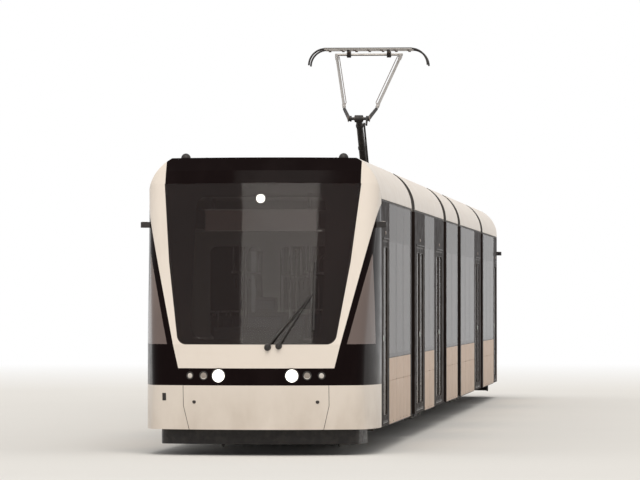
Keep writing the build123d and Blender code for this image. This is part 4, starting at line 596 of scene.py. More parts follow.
# Corner panes: light grey glass, a painted reflection of the bright surroundings.
CORNER_GLASS = glass("corner_glass", (0.16, 0.125, 0.115), 0.85, 0.12)
RUBBER = finish(
    "bellows_rubber", (0.042, 0.037, 0.035), 0.62, [(4.0, 4.0, 0.4, 0.75, 0.6, (0.08, 0.07, 0.062))],
    (12.0, 3.0, 0.5, 0.75), [(420.0, 2.0, 0.25, 0.0006)],
)
LINING = finish(
    "lining_plastic", (0.52, 0.49, 0.455), 0.5, [(3.0, 3.0, 0.4, 0.7, 0.4, (0.45, 0.42, 0.385))],
    (20.0, 2.0, 0.42, 0.6), [(500.0, 2.0, 0.15, 0.0004)],
)
FLOOR = finish(
    "floor_cover", (0.11, 0.105, 0.10), 0.55, [(260.0, 2.0, 0.58, 0.62, 0.8, (0.36, 0.35, 0.33))],
    (6.0, 3.0, 0.42, 0.65), [(300.0, 2.0, 0.1, 0.0005)],
)
BOGIE = finish(
    "bogie_paint", (0.060, 0.055, 0.052), 0.55,
    [(7.0, 5.0, 0.42, 0.7, 0.8, (0.135, 0.105, 0.080)), (28.0, 5.0, 0.58, 0.8, 0.8, (0.20, 0.12, 0.07))],
    (15.0, 4.0, 0.45, 0.8), [(120.0, 4.0, 0.3, 0.001)],
)
STEEL = finish(
    "wheel_steel", (0.23, 0.20, 0.18), 0.45, [(11.0, 5.0, 0.4, 0.7, 0.8, (0.14, 0.085, 0.055))],
    (20.0, 4.0, 0.35, 0.7), [(160.0, 4.0, 0.2, 0.0008)], metallic=0.85,
)
TREAD = finish(
    "tread_steel", (0.62, 0.60, 0.57), 0.25, [(30.0, 3.0, 0.45, 0.7, 0.6, (0.45, 0.42, 0.39), (1, 6, 1))],
    (60.0, 2.0, 0.18, 0.4, (1, 8, 1)), [(400.0, 1.0, 0.08, 0.0004, (1, 8, 1))], metallic=1.0,
)
ALUMINIUM = finish(
    "dull_aluminium", (0.42, 0.395, 0.37), 0.42, [(16.0, 4.0, 0.45, 0.75, 0.7, (0.29, 0.265, 0.24))],
    (25.0, 3.0, 0.32, 0.6), [(240.0, 3.0, 0.12, 0.0005)], metallic=0.9,
)
DARK = finish(
    "dark_metal", (0.022, 0.019, 0.018), 0.45, [(12.0, 4.0, 0.45, 0.75, 0.6, (0.06, 0.05, 0.043))],
    (22.0, 3.0, 0.35, 0.65), [(260.0, 2.0, 0.15, 0.0005)], Specular_IOR_Level=0.35,
)
LENS = lamp_lens("lamp_lens", (0.95, 0.93, 0.88), 2.0)
SMALL_LENS = lamp_lens("small_lens", (0.52, 0.48, 0.44), 0.05)
INDICATOR = lamp_lens("indicator_lens", (0.26, 0.22, 0.19), 0.02)
MARKER = lamp_lens("marker_lamp", (0.95, 0.93, 0.88), 9.0)
PRINT = printed_border()
SIGN = sign_glass()
LENS_DARK = finish(
    "camera_lens", (0.01, 0.01, 0.014), 0.06, [(30.0, 2.0, 0.4, 0.7, 0.4, (0.03, 0.025, 0.05))],
    (30.0, 2.0, 0.04, 0.12), [(80.0, 0.0, 0.04, 0.0004)],
)
SHELL = finish(
    "seat_shell", (0.060, 0.058, 0.060), 0.5, [(6.0, 4.0, 0.4, 0.7, 0.5, (0.085, 0.08, 0.08))],
    (18.0, 3.0, 0.4, 0.6), [(450.0, 2.0, 0.2, 0.0004)],
)
CLOTH = seat_cloth()
RAIL = finish(
    "brushed_steel", (0.56, 0.545, 0.53), 0.3, [(30.0, 3.0, 0.4, 0.7, 0.5, (0.42, 0.405, 0.39), (1, 1, 0.1))],
    (90.0, 2.0, 0.22, 0.42, (1, 1, 0.05)), [(500.0, 1.0, 0.08, 0.0003, (1, 1, 0.05))], metallic=1.0,
)
CARBON = finish(
    "contact_carbon", (0.018, 0.018, 0.019), 0.42,
    [(45.0, 4.0, 0.45, 0.7, 0.7, (0.055, 0.053, 0.052), (5, 1, 1))],
    (60.0, 3.0, 0.3, 0.6, (5, 1, 1)), [(300.0, 3.0, 0.25, 0.0005, (5, 1, 1))],
)
CERAMIC = finish(
    "insulator_glaze", (0.16, 0.085, 0.055), 0.2, [(14.0, 4.0, 0.45, 0.75, 0.5, (0.10, 0.06, 0.045))],
    (20.0, 3.0, 0.15, 0.4), [(70.0, 1.0, 0.08, 0.0006)],
)
LIGHT = light_strip()
BUTTON = finish(
    "door_button", (0.05, 0.32, 0.12), 0.3, [(60.0, 2.0, 0.4, 0.7, 0.4, (0.03, 0.22, 0.09))],
    (40.0, 2.0, 0.2, 0.4), [(300.0, 1.0, 0.1, 0.0004)], glow=(0.1, 0.8, 0.3), Emission_Strength=0.25,
)


def dress(name, materials, choose=None):
    """Gives a carried-over node its materials, chosen face by face from the face's centre and normal."""
    data = nodes[name].data
    data.materials.clear()
    for material in materials:
        data.materials.append(material)
    for polygon in data.polygons:
        polygon.material_index = choose(polygon.center, polygon.normal) if choose else 0


def frame_faces(centre, normal):
    """Floor cover on the faces that look up inside."""
    return 1 if abs(centre.y) < 1.24 and centre.z < 0.9 and normal.z > 0.9 else 0


def fitting_faces(centre, normal):
    """Each lamp takes the lens of its kind."""
    if not (0.8 < centre.z < 0.99 and abs(centre.x) > 15.9):
        return 0
    return min(FRONT_LAMPS, key=lambda lamp: abs(lamp[0] - abs(centre.y)))[2]


def panel_faces(centre, normal):
    """White coves with dark ends, and lower panels in a darker, warmer copy of the white: painted shade and
    painted warm bounce light.
    """
    if abs(normal.x) > 0.9:
        return 2
    return 1 if centre.z < BELT_Z + 0.01 else 0


def pane_faces(centre, normal):
    """Corner panes beside the windscreen, in the light grey glass with its painted reflection."""
    return 1 if abs(centre.y) > screen_half(centre.z) + 0.01 else 0


def wheel_faces(centre, normal):
    """Bright tread on the wheels of the nearest axle."""
    axle_x = min(AXLES_X, key=lambda place: abs(place - centre.x))
    radius = math.hypot(centre.z - AXLE_Z, centre.x - axle_x)
    return 1 if radius > 0.285 and abs(centre.y) > 0.69 else 0


def yoke_faces(centre, normal):
    """The yoke, cheeks and lever are dark, the tubes above them light."""
    return 1 if math.hypot(centre.x - KNUCKLE[0], centre.z - KNUCKLE[1]) < YOKE_LENGTH + 0.03 else 0


def strip_faces(centre, normal):
    on_strip = abs(abs(centre.x - HEAD[0]) - HEAD_STRIP_X) < 0.031 and abs(centre.y) < HEAD_STRAIGHT_HALF
    return 1 if on_strip and normal.z > 0.9 else 0


def insulator_faces(centre, normal):
    near = min(math.hypot(centre.x - x, abs(centre.y) - PANTO_RAIL_Y) for x in PANTO_FEET_X)
    return 1 if centre.z < PANTO_RAIL_Z - 0.001 and near < 0.08 else 0


def interior_faces(centre, normal):
    """Lining on the ceiling and the cab wall, steel on the poles, a darker shell on seats and desk."""
    if centre.z > 2.42 or abs(abs(centre.x) - WALL_PLATE_X) < 0.04:
        return 0
    slim = any(math.hypot(abs(centre.x) - x, abs(centre.y) - POLE_Y) < 0.03 for x in POLE_PLACES)
    return 2 if slim else 1


def dress_nodes():
    for letter in "abcde":
        dress(f"carbody_frame_{letter}", (BLACK, FLOOR), frame_faces)
        dress(f"side_panels_{letter}", (WHITE, SHADED_SIDE_WHITE, RUBBER), panel_faces)
        dress(f"roof_{letter}", (ROOF,))
        dress(f"windows_{letter}", (SIDE_GLASS,))
        dress(f"interior_{letter}", (LINING, SHELL, RAIL), interior_faces)
        if letter != "c":
            dress(f"doors_{letter}", (BLACK,))
    for letter in "ae":
        dress(f"front_panels_{letter}", (WHITE,))
        dress(f"front_mask_{letter}", (MASK,))
        dress(f"windscreen_{letter}", (SCREEN_GLASS, CORNER_GLASS), pane_faces)
        dress(f"front_fittings_{letter}", (DARK, LENS, INDICATOR, SMALL_LENS), fitting_faces)
    for letter in BOGIES:
        dress(f"bogie_{letter}", (BOGIE,))
        dress(f"wheel_boxes_{letter}", (LINING,))
    for number in range(1, 7):
        dress(f"wheelset_{number}", (STEEL, TREAD), wheel_faces)
    dress("panto_base", (DARK, CERAMIC), insulator_faces)
    dress("panto_lower_arm", (DARK,))
    dress("panto_guide_rod", (DARK,))
    dress("panto_upper_arm", (ALUMINIUM, DARK), yoke_faces)
    dress("panto_head", (DARK, CARBON), strip_faces)


# Bellows
FOLDS = 9
FOLD_DEPTH = 0.055
FOLD_STEPS = 8
FOLD_FRAME = 0.028
FOLD_THICK = 0.006


def arch_points(half, bottom, foot, top_half, top):
    """Half-open arch across the tram: up one leg, over the cove and roof, down the other."""
    rise = top - foot
    centre_y = (half**2 - top_half**2 - rise**2) / (2 * (half - top_half))
    radius = half - centre_y
    turn = math.atan2(rise, top_half - centre_y)
    right = [(half, bottom + (foot - bottom) * i / 6) for i in range(6)]
    for i in range(11):
        angle = turn * i / 10
        right.append((centre_y + radius * math.cos(angle), foot + radius * math.sin(angle)))
    right += [(top_half * (1 - i / 5), top) for i in range(1, 6)]
    return right + [(-y, z) for y, z in reversed(right[:-1])]


def inward(points):
    """Unit normals that point into the arch, one for each of its points."""
    normals = []
    for i in range(len(points)):
        a, b = points[max(i - 1, 0)], points[min(i + 1, len(points) - 1)]
        way = Vector((b[0] - a[0], b[1] - a[1])).normalized()
        normals.append((-way.y, way.x))
    return normals


def bellows(number):
    """Pleated outer bellows with end frames, and the lighter gangway bellows inside it."""
    middle, behind, ahead = PIVOTS[number]
    mesh = Mesh()
    half = END_GAP - 0.001
    fold_half = half - FOLD_FRAME
    arches = (
        (arch_points(1.270, 0.340, GUTTER_Z, 0.995, 3.240), FOLD_DEPTH, 0.05, 0),
        (arch_points(0.820, 0.450, 2.30, 0.66, 2.47), -0.030, 0.03, 1),
    )
    for points, depth, frame_thick, mark in arches:
        arch = [(*point, *normal) for point, normal in zip(points, inward(points))]

        def shifted(x, reach):
            return [(x, y + ny * reach, z + nz * reach) for y, z, ny, nz in arch]

        steps = FOLDS * FOLD_STEPS
        places = []
        for i in range(steps + 1):
            wave = (0.5 - 0.5 * math.cos(2 * math.pi * FOLDS * i / steps)) ** 0.7
            places.append((middle - fold_half + i / steps * 2 * fold_half, depth * (1 - wave)))
        mesh.grid([shifted(x, reach) for x, reach in places], mark)
        mesh.grid([shifted(x, reach + FOLD_THICK) for x, reach in places], mark, flip=True)
        for end in BOTH:
            x0, x1 = middle + end * half, middle + end * fold_half
            corners = ((x0, 0), (x1, 0), (x1, frame_thick), (x0, frame_thick), (x0, 0))
            mesh.grid(list(zip(*(shifted(*corner) for corner in corners))), 2, smooth=False)
    piece = mesh.make(f"bellows_folds_{number}", None, (RUBBER, LINING, DARK))
    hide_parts(f"bellows_{number}")
    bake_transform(piece)


# Front of the leading and the trailing end
def on_line(pairs, z):
    """Value at a height, from pairs of height and value."""
    for (z0, value0), (z1, value1) in zip(pairs, pairs[1:]):
        if z <= z1:
            break
    return value0 + (value1 - value0) * (z - z0) / (z1 - z0)


def nose_x(y, z):
    """How far forward the nose's middle field lies at a width and height."""
    return NOSE_X - on_line(NOSE_SECTIONS, z) - (NOSE_FRONT_R - math.sqrt(NOSE_FRONT_R**2 - y**2))


def on_nose(y, z, out=0.0):
    """Point on the nose, or in front of it."""
    return (nose_x(y, z) + out, y, z)


def nose_out(y):
    """Direction that points out of the nose at a width."""
    return (math.sqrt(NOSE_FRONT_R**2 - y**2), y, 0)


def screen_half(z):
    """Half width of the windscreen at a height."""
    return on_line(SCREEN_SIDES, z)


def quarter(middle, radius, first, steps):
    """Quarter of a circle from a first angle, in degrees."""
    angles = [math.radians(first + 90 * i / steps) for i in range(steps + 1)]
    return [(middle[0] + radius * math.cos(angle), middle[1] + radius * math.sin(angle)) for angle in angles]


def rounded_outline(half_at, bottom, top, radius):
    """Closed outline of width and height points with round corners; half_at gives the half width."""

    def corner(side, middle_z, first):
        arc = quarter((0, middle_z), radius, first, 6)
        return [(side * (half_at(z) - radius) + y, z) for y, z in arc]

    def edge(z, way):
        reach = way * (half_at(z) - radius)
        return [(reach * (1 - i / 6), z) for i in range(1, 12)]

    right = corner(1, bottom + radius, -90) + corner(1, top - radius, 0)
    left = corner(-1, top - radius, 90) + corner(-1, bottom + radius, 180)
    return right + edge(top, 1) + left + edge(bottom, -1)


def screen_border(letter, turn):
    """Printed black border behind the windscreen's edge."""
    mesh = Mesh(turn)
    edge = rounded_outline(
        lambda z: screen_half(z) - 0.004, SCREEN_BOTTOM_Z + 0.004, CREASE_Z - 0.01, SCREEN_CORNER_R
    )
    hole = rounded_outline(
        lambda z: PRINT_INNER_HALF, SCREEN_BOTTOM_Z + 0.055, CREASE_Z - 0.13, PRINT_CORNER_R
    )
    rows = []
    for k in range(7):
        points = [along(start, end, k / 6) for start, end in zip(edge, hole)]
        rows.append([on_nose(y, z, -PRINT_INSET) for y, z in points + points[:1]])
    mesh.grid(rows)
    mesh.fit("screen_border", letter, (PRINT,))


def sign_box(letter, turn):
    """Blank destination box and the round lamp above it, behind the windscreen."""
    mesh = Mesh(turn)
    bottom, top = SIGN_Z
    x, y, rim = nose_x(SIGN_HALF, top) - 0.045, SIGN_HALF, SIGN_RIM
    mesh.soft_box(x - 0.14, x, -y, y, bottom, top, 0.008)
    mesh.box(x, x + 0.004, rim - y, y - rim, bottom + rim, top - rim, 1)
    for z in (bottom, top - rim):
        mesh.soft_box(x - 0.002, x + 0.007, -y, y, z, z + rim, 0.003, 2)
    for side in BOTH:
        hanger_y = side * (SIGN_HALF - 0.1)
        mesh.box(x - 0.1, x - 0.06, hanger_y - 0.02, hanger_y + 0.02, top, top + 0.12)
    lamp = on_nose(0, MARKER_Z, -0.06)
    case = [(-0.04, 0.02), (-0.036, 0.056), (-0.02, 0.064), (-0.004, 0.064), (0.004, 0.052)]
    mesh.lathe(case, lamp, AHEAD, 0, 32)
    mesh.lathe([(0.004, 0.05), (0.012, 0.045), (0.018, 0.03), (0.02, 0.0)], lamp, AHEAD, 3, 32)
    mesh.fit("sign_box", letter, (DARK, SIGN, ALUMINIUM, MARKER))


def lamp_details(letter, turn):
    """Bezels, reflectors and lenses of the six front lamps."""
    mesh = Mesh(turn)
    for side in BOTH:
        for width, radius, kind in FRONT_LAMPS:
            at, out = on_nose(side * width, LAMP_Z), nose_out(side * width)
            bezel = ((-0.006, 0.004), (0.004, 0.006), (0.007, 0.001), (0.004, -0.007), (-0.006, -0.009))
            mesh.lathe([(rise, radius + wider) for rise, wider in bezel], at, out, 0, 32)
            bowl = [(-0.0005, radius - 0.009), (0.0015, radius * 0.72), (0.0025, radius * 0.4), (0.0047, 0.0)]
            mesh.lathe(bowl, at, out, kind, 32)
            for share in (0.52, 0.74) if kind == 1 else ():
                rib = radius * share
                mesh.lathe([(0.002, rib - 0.003), (0.005, rib), (0.002, rib + 0.003)], at, out, 1, 32)
    mesh.fit("lamp_details", letter, (DARK, LENS, SMALL_LENS, INDICATOR))


def wiper_details(letter, turn):
    """Rubber blade, its spring bar and the caps of the two spindles."""
    mesh = Mesh(turn)
    foot, head = BLADE_Z
    blade = [on_nose(BLADE_Y, foot + (head - foot) * i / 14, 0.006) for i in range(15)]
    mesh.tube(blade, 0.006)
    mesh.tube([(x + 0.022, y, z) for x, y, z in blade[2:-2]], 0.005, 1)
    for i in (3, 6, 8, 11):
        x, y, z = blade[i]
        mesh.rod((x, y, z), (x + 0.024, y, z), 0.006, 1, 8)
    lean = (1, 0, 0.1)
    for y, z in WIPER_FEET:
        cap = [(0, 0.028), (0.010, 0.028), (0.016, 0.02), (0.018, 0.0)]
        mesh.lathe(cap, on_nose(y, z, 0.030), lean, 1, 20)
        mesh.lathe([(0, 0.04), (0.006, 0.036), (0.008, 0.024)], on_nose(y, z), lean, 0, 20)
    mesh.fit("wiper_details", letter, (RUBBER, DARK))


def bumper_details(letter, turn):
    """Bumper's covers, seam rubbers and hatch, and the short bar behind the foot of the windscreen."""
    mesh = Mesh(turn)
    seam = []
    for start, end in zip(BUMPER_SEAM, BUMPER_SEAM[1:]):
        seam += [along(start, end, i / 6) for i in range(6)]
    seam.append(BUMPER_SEAM[-1])
    for side in BOTH:
        disc = [(-0.002, 0.021), (0.0015, 0.021), (0.0025, 0.017), (0.0025, 0.0)]
        mesh.lathe(disc, on_nose(side * COVER_Y, COVER_Z), nose_out(side * COVER_Y), 0, 20)
        mesh.tube([on_nose(side * y, z, -0.004) for y, z in seam], 0.0048)
    (y0, z0), (wide, high) = HATCH, HATCH_HALF
    rows = [[on_nose(y0 + y, z0 + z, 0.0012) for y in (-wide, 0, wide)] for z in (-high, 0.0, high)]
    mesh.grid(rows)
    corners = ((-wide, -high), (wide, -high), (wide, high), (-wide, high), (-wide, -high))
    mesh.tube([on_nose(y0 + y, z0 + z, 0.001) for y, z in corners], 0.003, 0, 6)
    y0, y1, z = SCREEN_BAR
    places = [y0 + (y1 - y0) * i / 8 for i in range(9)]
    mesh.grid([[on_nose(y, z + up, -0.0128) for up in (-0.006, 0.006)] for y in places], 1, smooth=False)
    mesh.fit("bumper_details", letter, (DARK, ALUMINIUM))


def cap_back(letter, turn):
    """Ribbed panel that closes the cap behind the nose, above the roof deck."""
    mesh = Mesh(turn)
    outline = [*CAP_BACK_OUTLINE, *((-y, z) for y, z in reversed(CAP_BACK_OUTLINE))]
    mesh.prism(*([(x, y, z) for y, z in outline] for x in (CAP_BACK_X, CAP_BACK_X + 0.006)))
    for y in spread(-0.9, 0.9, 0.3):
        mesh.soft_box(CAP_BACK_X - 0.014, CAP_BACK_X + 0.001, y - 0.02, y + 0.02, 2.93, 3.27, 0.005)
        mesh.bolt((CAP_BACK_X, y + 0.15, 2.94), (-1, 0, 0), 0.008, 0.007)
    mesh.fit("cap_back", letter, (MASK, STEEL))


def camera_details(letter, turn):
    """Lens and light upper trim of each side camera."""
    mesh = Mesh(turn)
    x, z = CAMERA_ARM
    for side in BOTH:
        lens = [(0.0, 0.024), (0.008, 0.024), (0.012, 0.018), (0.014, 0.0)]
        mesh.lathe(lens, (x - 0.058, side * (HALF_WIDTH + 0.045), z), (-1, 0, -0.1), 1, 20)
        near, far = side * (HALF_WIDTH + 0.002), side * (HALF_WIDTH + 0.062)
        mesh.soft_box(x - 0.04, x + 0.04, near, far, z + 0.031, z + 0.036, 0.002)
    mesh.fit("camera_details", letter, (ALUMINIUM, LENS_DARK))


# Sides
def each_zone(mesh, letter):
    """Side zones of a module; the -Y side is the +Y side of its twin, turned half round."""
    for turn, key in ((1, letter), (-1, TWIN[letter])):
        mesh.turn = turn
        yield from SIDE_ZONES[key]


def window_details(letter):
    """Rubber between and round the flush panes."""
    mesh = Mesh()
    face, back, half = HALF_WIDTH - 0.0015, HALF_WIDTH - GLASS_THICK, PANE_GAP / 2
    for kind, x0, x1 in each_zone(mesh, letter):
        if kind != "window":
            continue
        for x in spread(x0, x1, WINDOW_PITCH):
            mesh.box(max(x0, x - half), min(x1, x + half), back, face, BELT_Z, GUTTER_Z)
        for low in (BELT_Z, GUTTER_Z - PANE_GAP):
            mesh.box(x0, x1, back, face, low, low + PANE_GAP)
    mesh.fit("window_gaskets", letter, (RUBBER,))


def round_rectangle(x0, x1, z0, z1, radius):
    """Closed path with round corners, as x and z, its first point repeated at the end."""
    left, right, low, high = x0 + radius, x1 - radius, z0 + radius, z1 - radius
    points = []
    for i, middle in enumerate(((right, low), (right, high), (left, high), (left, low))):
        points += quarter(middle, radius, 90 * (i - 1), 5)
    return points + points[:1]


def leaf_details(mesh, left, right, handle_x):
    """Pane seal, handrail, and upper and lower edge of a door leaf."""
    low, high, frame_width = DOOR_SILL_Z + LEAF_GAP, DOOR_TOP_Z, LEAF_FRAME
    seal = round_rectangle(
        left + frame_width, right - frame_width, low + frame_width, high - frame_width, LEAF_CORNER_R
    )
    mesh.tube([(x, LEAF_FACE - 0.001, z) for x, z in seal], 0.005, 0, 6)
    rail_y = LEAF_FACE - LEAF_THICK - 0.035
    for z in (1.0, 1.9):
        mesh.rod((handle_x, rail_y, z), (handle_x, rail_y + 0.036, z), 0.008, 2, 8)
    mesh.tube([(handle_x, rail_y, 0.96), (handle_x, rail_y, 1.94)], 0.013, 2, 10)
    for z in (low + 0.002, high - 0.022):
        mesh.box(left, right, LEAF_FACE - 0.006, LEAF_FACE + 0.001, z, z + 0.02)


def door_details(letter):
    """Leaf details, closing edges, buttons, sills, drip rails and lamps of the doorways."""
    mesh = Mesh()
    for kind, x0, x1 in each_zone(mesh, letter):
        if kind == "window":
            continue
        middle, reach, gap = (x0 + x1) / 2, DOOR_WIDTHS[kind] / 2, LEAF_GAP / 2
        open0, open1 = middle - reach, middle + reach
        if kind == "double":
            leaf_details(mesh, open0 + gap, middle - gap, middle - gap - 0.05)
            leaf_details(mesh, middle + gap, open1 - gap, middle + gap + 0.05)
            edges, button_x = (open0, middle - 0.009, middle + 0.009, open1), middle + 0.045
        else:
            leaf_details(mesh, open0 + gap, open1 - gap, open0 + gap + 0.05)
            edges, button_x = (open0, open1), open1 - 0.04
        y, sill = LEAF_FACE - 0.003, DOOR_SILL_Z + 0.003
        for x in edges:
            mesh.rod((x, y, DOOR_SILL_Z + LEAF_GAP), (x, y, DOOR_TOP_Z), 0.0075, 0, 10)
        button = (button_x, LEAF_FACE, BUTTON_Z)
        rim = [(-0.002, 0.034), (0.004, 0.034), (0.007, 0.030), (0.007, 0.025), (0.003, 0.024)]
        mesh.lathe(rim, button, ACROSS, 2, 24)
        mesh.lathe([(0.001, 0.023), (0.005, 0.022), (0.007, 0.015), (0.0075, 0.0)], button, ACROSS, 3, 24)
        mesh.box(open0, open1, 1.262, HALF_WIDTH, DOOR_SILL_Z - 0.001, sill, 2)
        for i in range(5):
            y = 1.266 + 0.012 * i
            mesh.box(open0 + 0.02, open1 - 0.02, y, y + 0.005, sill, sill + 0.002, 1)
        top = DOOR_TOP_Z + 0.012
        mesh.soft_box(open0 - 0.03, open1 + 0.03, 1.322, 1.336, top, top + 0.014, 0.005, 1)
        lamp = [(-0.002, 0.022), (0.004, 0.022), (0.009, 0.016), (0.011, 0.0)]
        mesh.lathe(lamp, (middle, HALF_WIDTH, DOOR_TOP_Z + 0.085), ACROSS, 4, 20)
        for x in (open0 - 0.012, open1 + 0.012):
            mesh.soft_box(x - 0.006, x + 0.006, 1.322, 1.329, SKIRT_Z + 0.005, top, 0.003)
    mesh.fit("door_details", letter, (RUBBER, DARK, RAIL, BUTTON, INDICATOR))


def panel_details(letter):
    """Fasteners and edges of the white panels, and the dark strip in the gutter above the windows."""
    mesh = Mesh()
    for kind, x0, x1 in each_zone(mesh, letter):
        if kind != "window":
            continue
        for x in spread(x0 + 0.09, x1 - 0.09, 0.62):
            head = [(-0.001, 0.008), (0.0015, 0.008), (0.0025, 0.005), (0.0025, 0.0)]
            mesh.lathe(head, (x, HALF_WIDTH, PANEL_BOLT_Z), ACROSS, 1, 10)
        for x in spread(x0, x1, WINDOW_PITCH)[1:-1]:
            mesh.box(x - 0.002, x + 0.002, HALF_WIDTH - 0.004, HALF_WIDTH + 0.0004, SKIRT_Z, BELT_Z)
        mesh.soft_box(x0 + 0.005, x1 - 0.005, 1.296, 1.321, SKIRT_Z - 0.012, SKIRT_Z + 0.001, 0.004)
    x0, x1 = MODULE_ENDS[letter]
    mesh.turn = 1
    for side in BOTH:
        near, far = side * 1.296, side * 1.3155
        mesh.box(x0 + 0.002, x1 - 0.002, near, far, GUTTER_Z + 0.001, COVE_FOOT_Z - 0.001)
    mesh.fit("panel_details", letter, (RUBBER, DARK))


# Roof
def lid_details(mesh, x0, x1, half, top):
    """Handles, catches and bolts on the lids of a housing."""
    places = spread(x0, x1, LID_PITCH)
    handle = ((-0.07, 0), (-0.065, 0.028), (0.065, 0.028), (0.07, 0))
    for side in BOTH:
        for low, high in zip(places, places[1:]):
            path = [((low + high) / 2 + x, side * (half - 0.16), top + z) for x, z in handle]
            mesh.tube(path, 0.006)
            for x in (low + 0.06, high - 0.06):
                mesh.bolt((x, side * (half - 0.1), top), UP, 0.009, 0.009)
        near, far = side * (half + 0.001), side * (half - 0.02)
        mesh.soft_box(x0 + 0.04, x1 - 0.04, near, far, top - 0.13, top - 0.105, 0.003)


def fan_blade(mesh, x, top, start):
    """Twisted blade of a roof fan, from a start angle."""
    rows = []
    for r in (0.073, 0.13, 0.19, 0.25):
        row = []
        for k in range(4):
            angle = start + (0.10 + 0.52 * k / 3) * (0.6 + 0.4 * r / 0.25)
            row.append((x + r * math.cos(angle), r * math.sin(angle), top - 0.012 - 0.022 * k / 3))
        rows.append(row)
    mesh.grid(rows, 1)


def fan_details(mesh, x0, x1, half, top):
    """Guard wires, blades and rim of the two roof fans."""
    for share in FAN_SHARES:
        x = x0 + (x1 - x0) * share
        at = Vector((x, 0, top + 0.003))
        for radius in (0.10, 0.135, 0.17, 0.205, 0.24, 0.272):
            mesh.ring(at, UP, radius, 0.0035)
        for c, s in circle(12):
            ray = Vector((c, s, 0))
            mesh.rod(at + ray * FAN_HUB_R, at + ray * 0.275, 0.003, 0, 6)
        rim = [(0.0, FAN_R + 0.022), (0.008, FAN_R + 0.02), (0.010, FAN_R + 0.006), (0.0, FAN_R + 0.002)]
        mesh.lathe(rim, (x, 0, top), UP, 0, 40)
        for i in range(8):
            fan_blade(mesh, x, top, math.pi * i / 4)
    for x in spread(x0 + 0.08, x1 - 0.08, 0.24):
        for side in BOTH:
            mesh.bolt((x, side * (half - 0.1), top), UP, 0.009, 0.009)


def slot_details(mesh, x0, x1, half, top):
    """Slanting louvre blades in the cooling slots, and the frame round them."""
    count = int((x1 - x0 - 2 * SLOT_MARGIN + 1e-6) // SLOT_PITCH)
    first = (x0 + x1) / 2 - (count - 1) * SLOT_PITCH / 2
    reach = half - SLOT_MARGIN
    section = ((-0.017, 0.004), (-0.015, 0.006), (0.014, -0.017), (0.012, -0.019))
    for i in range(count):
        x = first + i * SLOT_PITCH
        near, far = ([(x + px, y, top + pz) for px, pz in section] for y in (0.002 - reach, reach - 0.002))
        mesh.prism(near, far, 1)
    edges = (first - 0.05, first + (count - 1) * SLOT_PITCH + 0.05)
    for side in BOTH:
        near, far = side * (reach + 0.004), side * (reach + 0.026)
        mesh.soft_box(*edges, near, far, top - 0.001, top + 0.008, 0.003)
    for x in edges:
        mesh.soft_box(x - 0.011, x + 0.011, -reach - 0.026, reach + 0.026, top - 0.001, top + 0.008, 0.003)
        for y in (-reach, -reach / 3, reach / 3, reach):
            mesh.bolt((x, y, top + 0.008), UP, 0.008, 0.007)


GEAR_DETAILS = {"lid": lid_details, "fans": fan_details, "slots": slot_details}


def roof_details(letter, key, turn):
    """Lids, fans and louvres of the roof gear, lifting eyes and the straps of the cable trunks."""
    mesh = Mesh(turn)
    for base, x0, x1, half, height, kind in ROOF_GEAR:
        if base != key:
            continue
        top = DECK_Z + height
        GEAR_DETAILS[kind](mesh, x0, x1, half, top)
        for side in BOTH:
            y = side * (half - 0.13)
            for x in (x0 + 0.10, x1 - 0.10):
                mesh.lathe([(0, 0.022), (0.008, 0.02), (0.012, 0.01)], (x, y, top - 0.002), UP, 0, 16)
                mesh.ring((x, y, top + 0.028), ACROSS, 0.018, 0.006, 0, 18)
            near, far = side * (half - 0.004), side * (half + 0.045)
            for x in spread(x0 + 0.15, x1 - 0.15, 0.5):
                mesh.soft_box(x - 0.03, x + 0.03, near, far, DECK_Z, DECK_Z + 0.012, 0.003)
                mesh.bolt((x, side * (half + 0.024), DECK_Z + 0.012), UP, 0.009, 0.01)
    x0, x1 = MODULE_ENDS[key]
    for side in BOTH:
        near, far = side * (TRUNK_Y[0] - 0.004), side * (TRUNK_Y[1] + 0.004)
        for x in spread(x0 + 0.3, x1 - 0.3, 0.7):
            mesh.soft_box(x - 0.02, x + 0.02, near, far, DECK_Z, TRUNK_TOP_Z + 0.004, 0.003)
    mesh.fit("roof_details", letter, (ALUMINIUM, DARK))


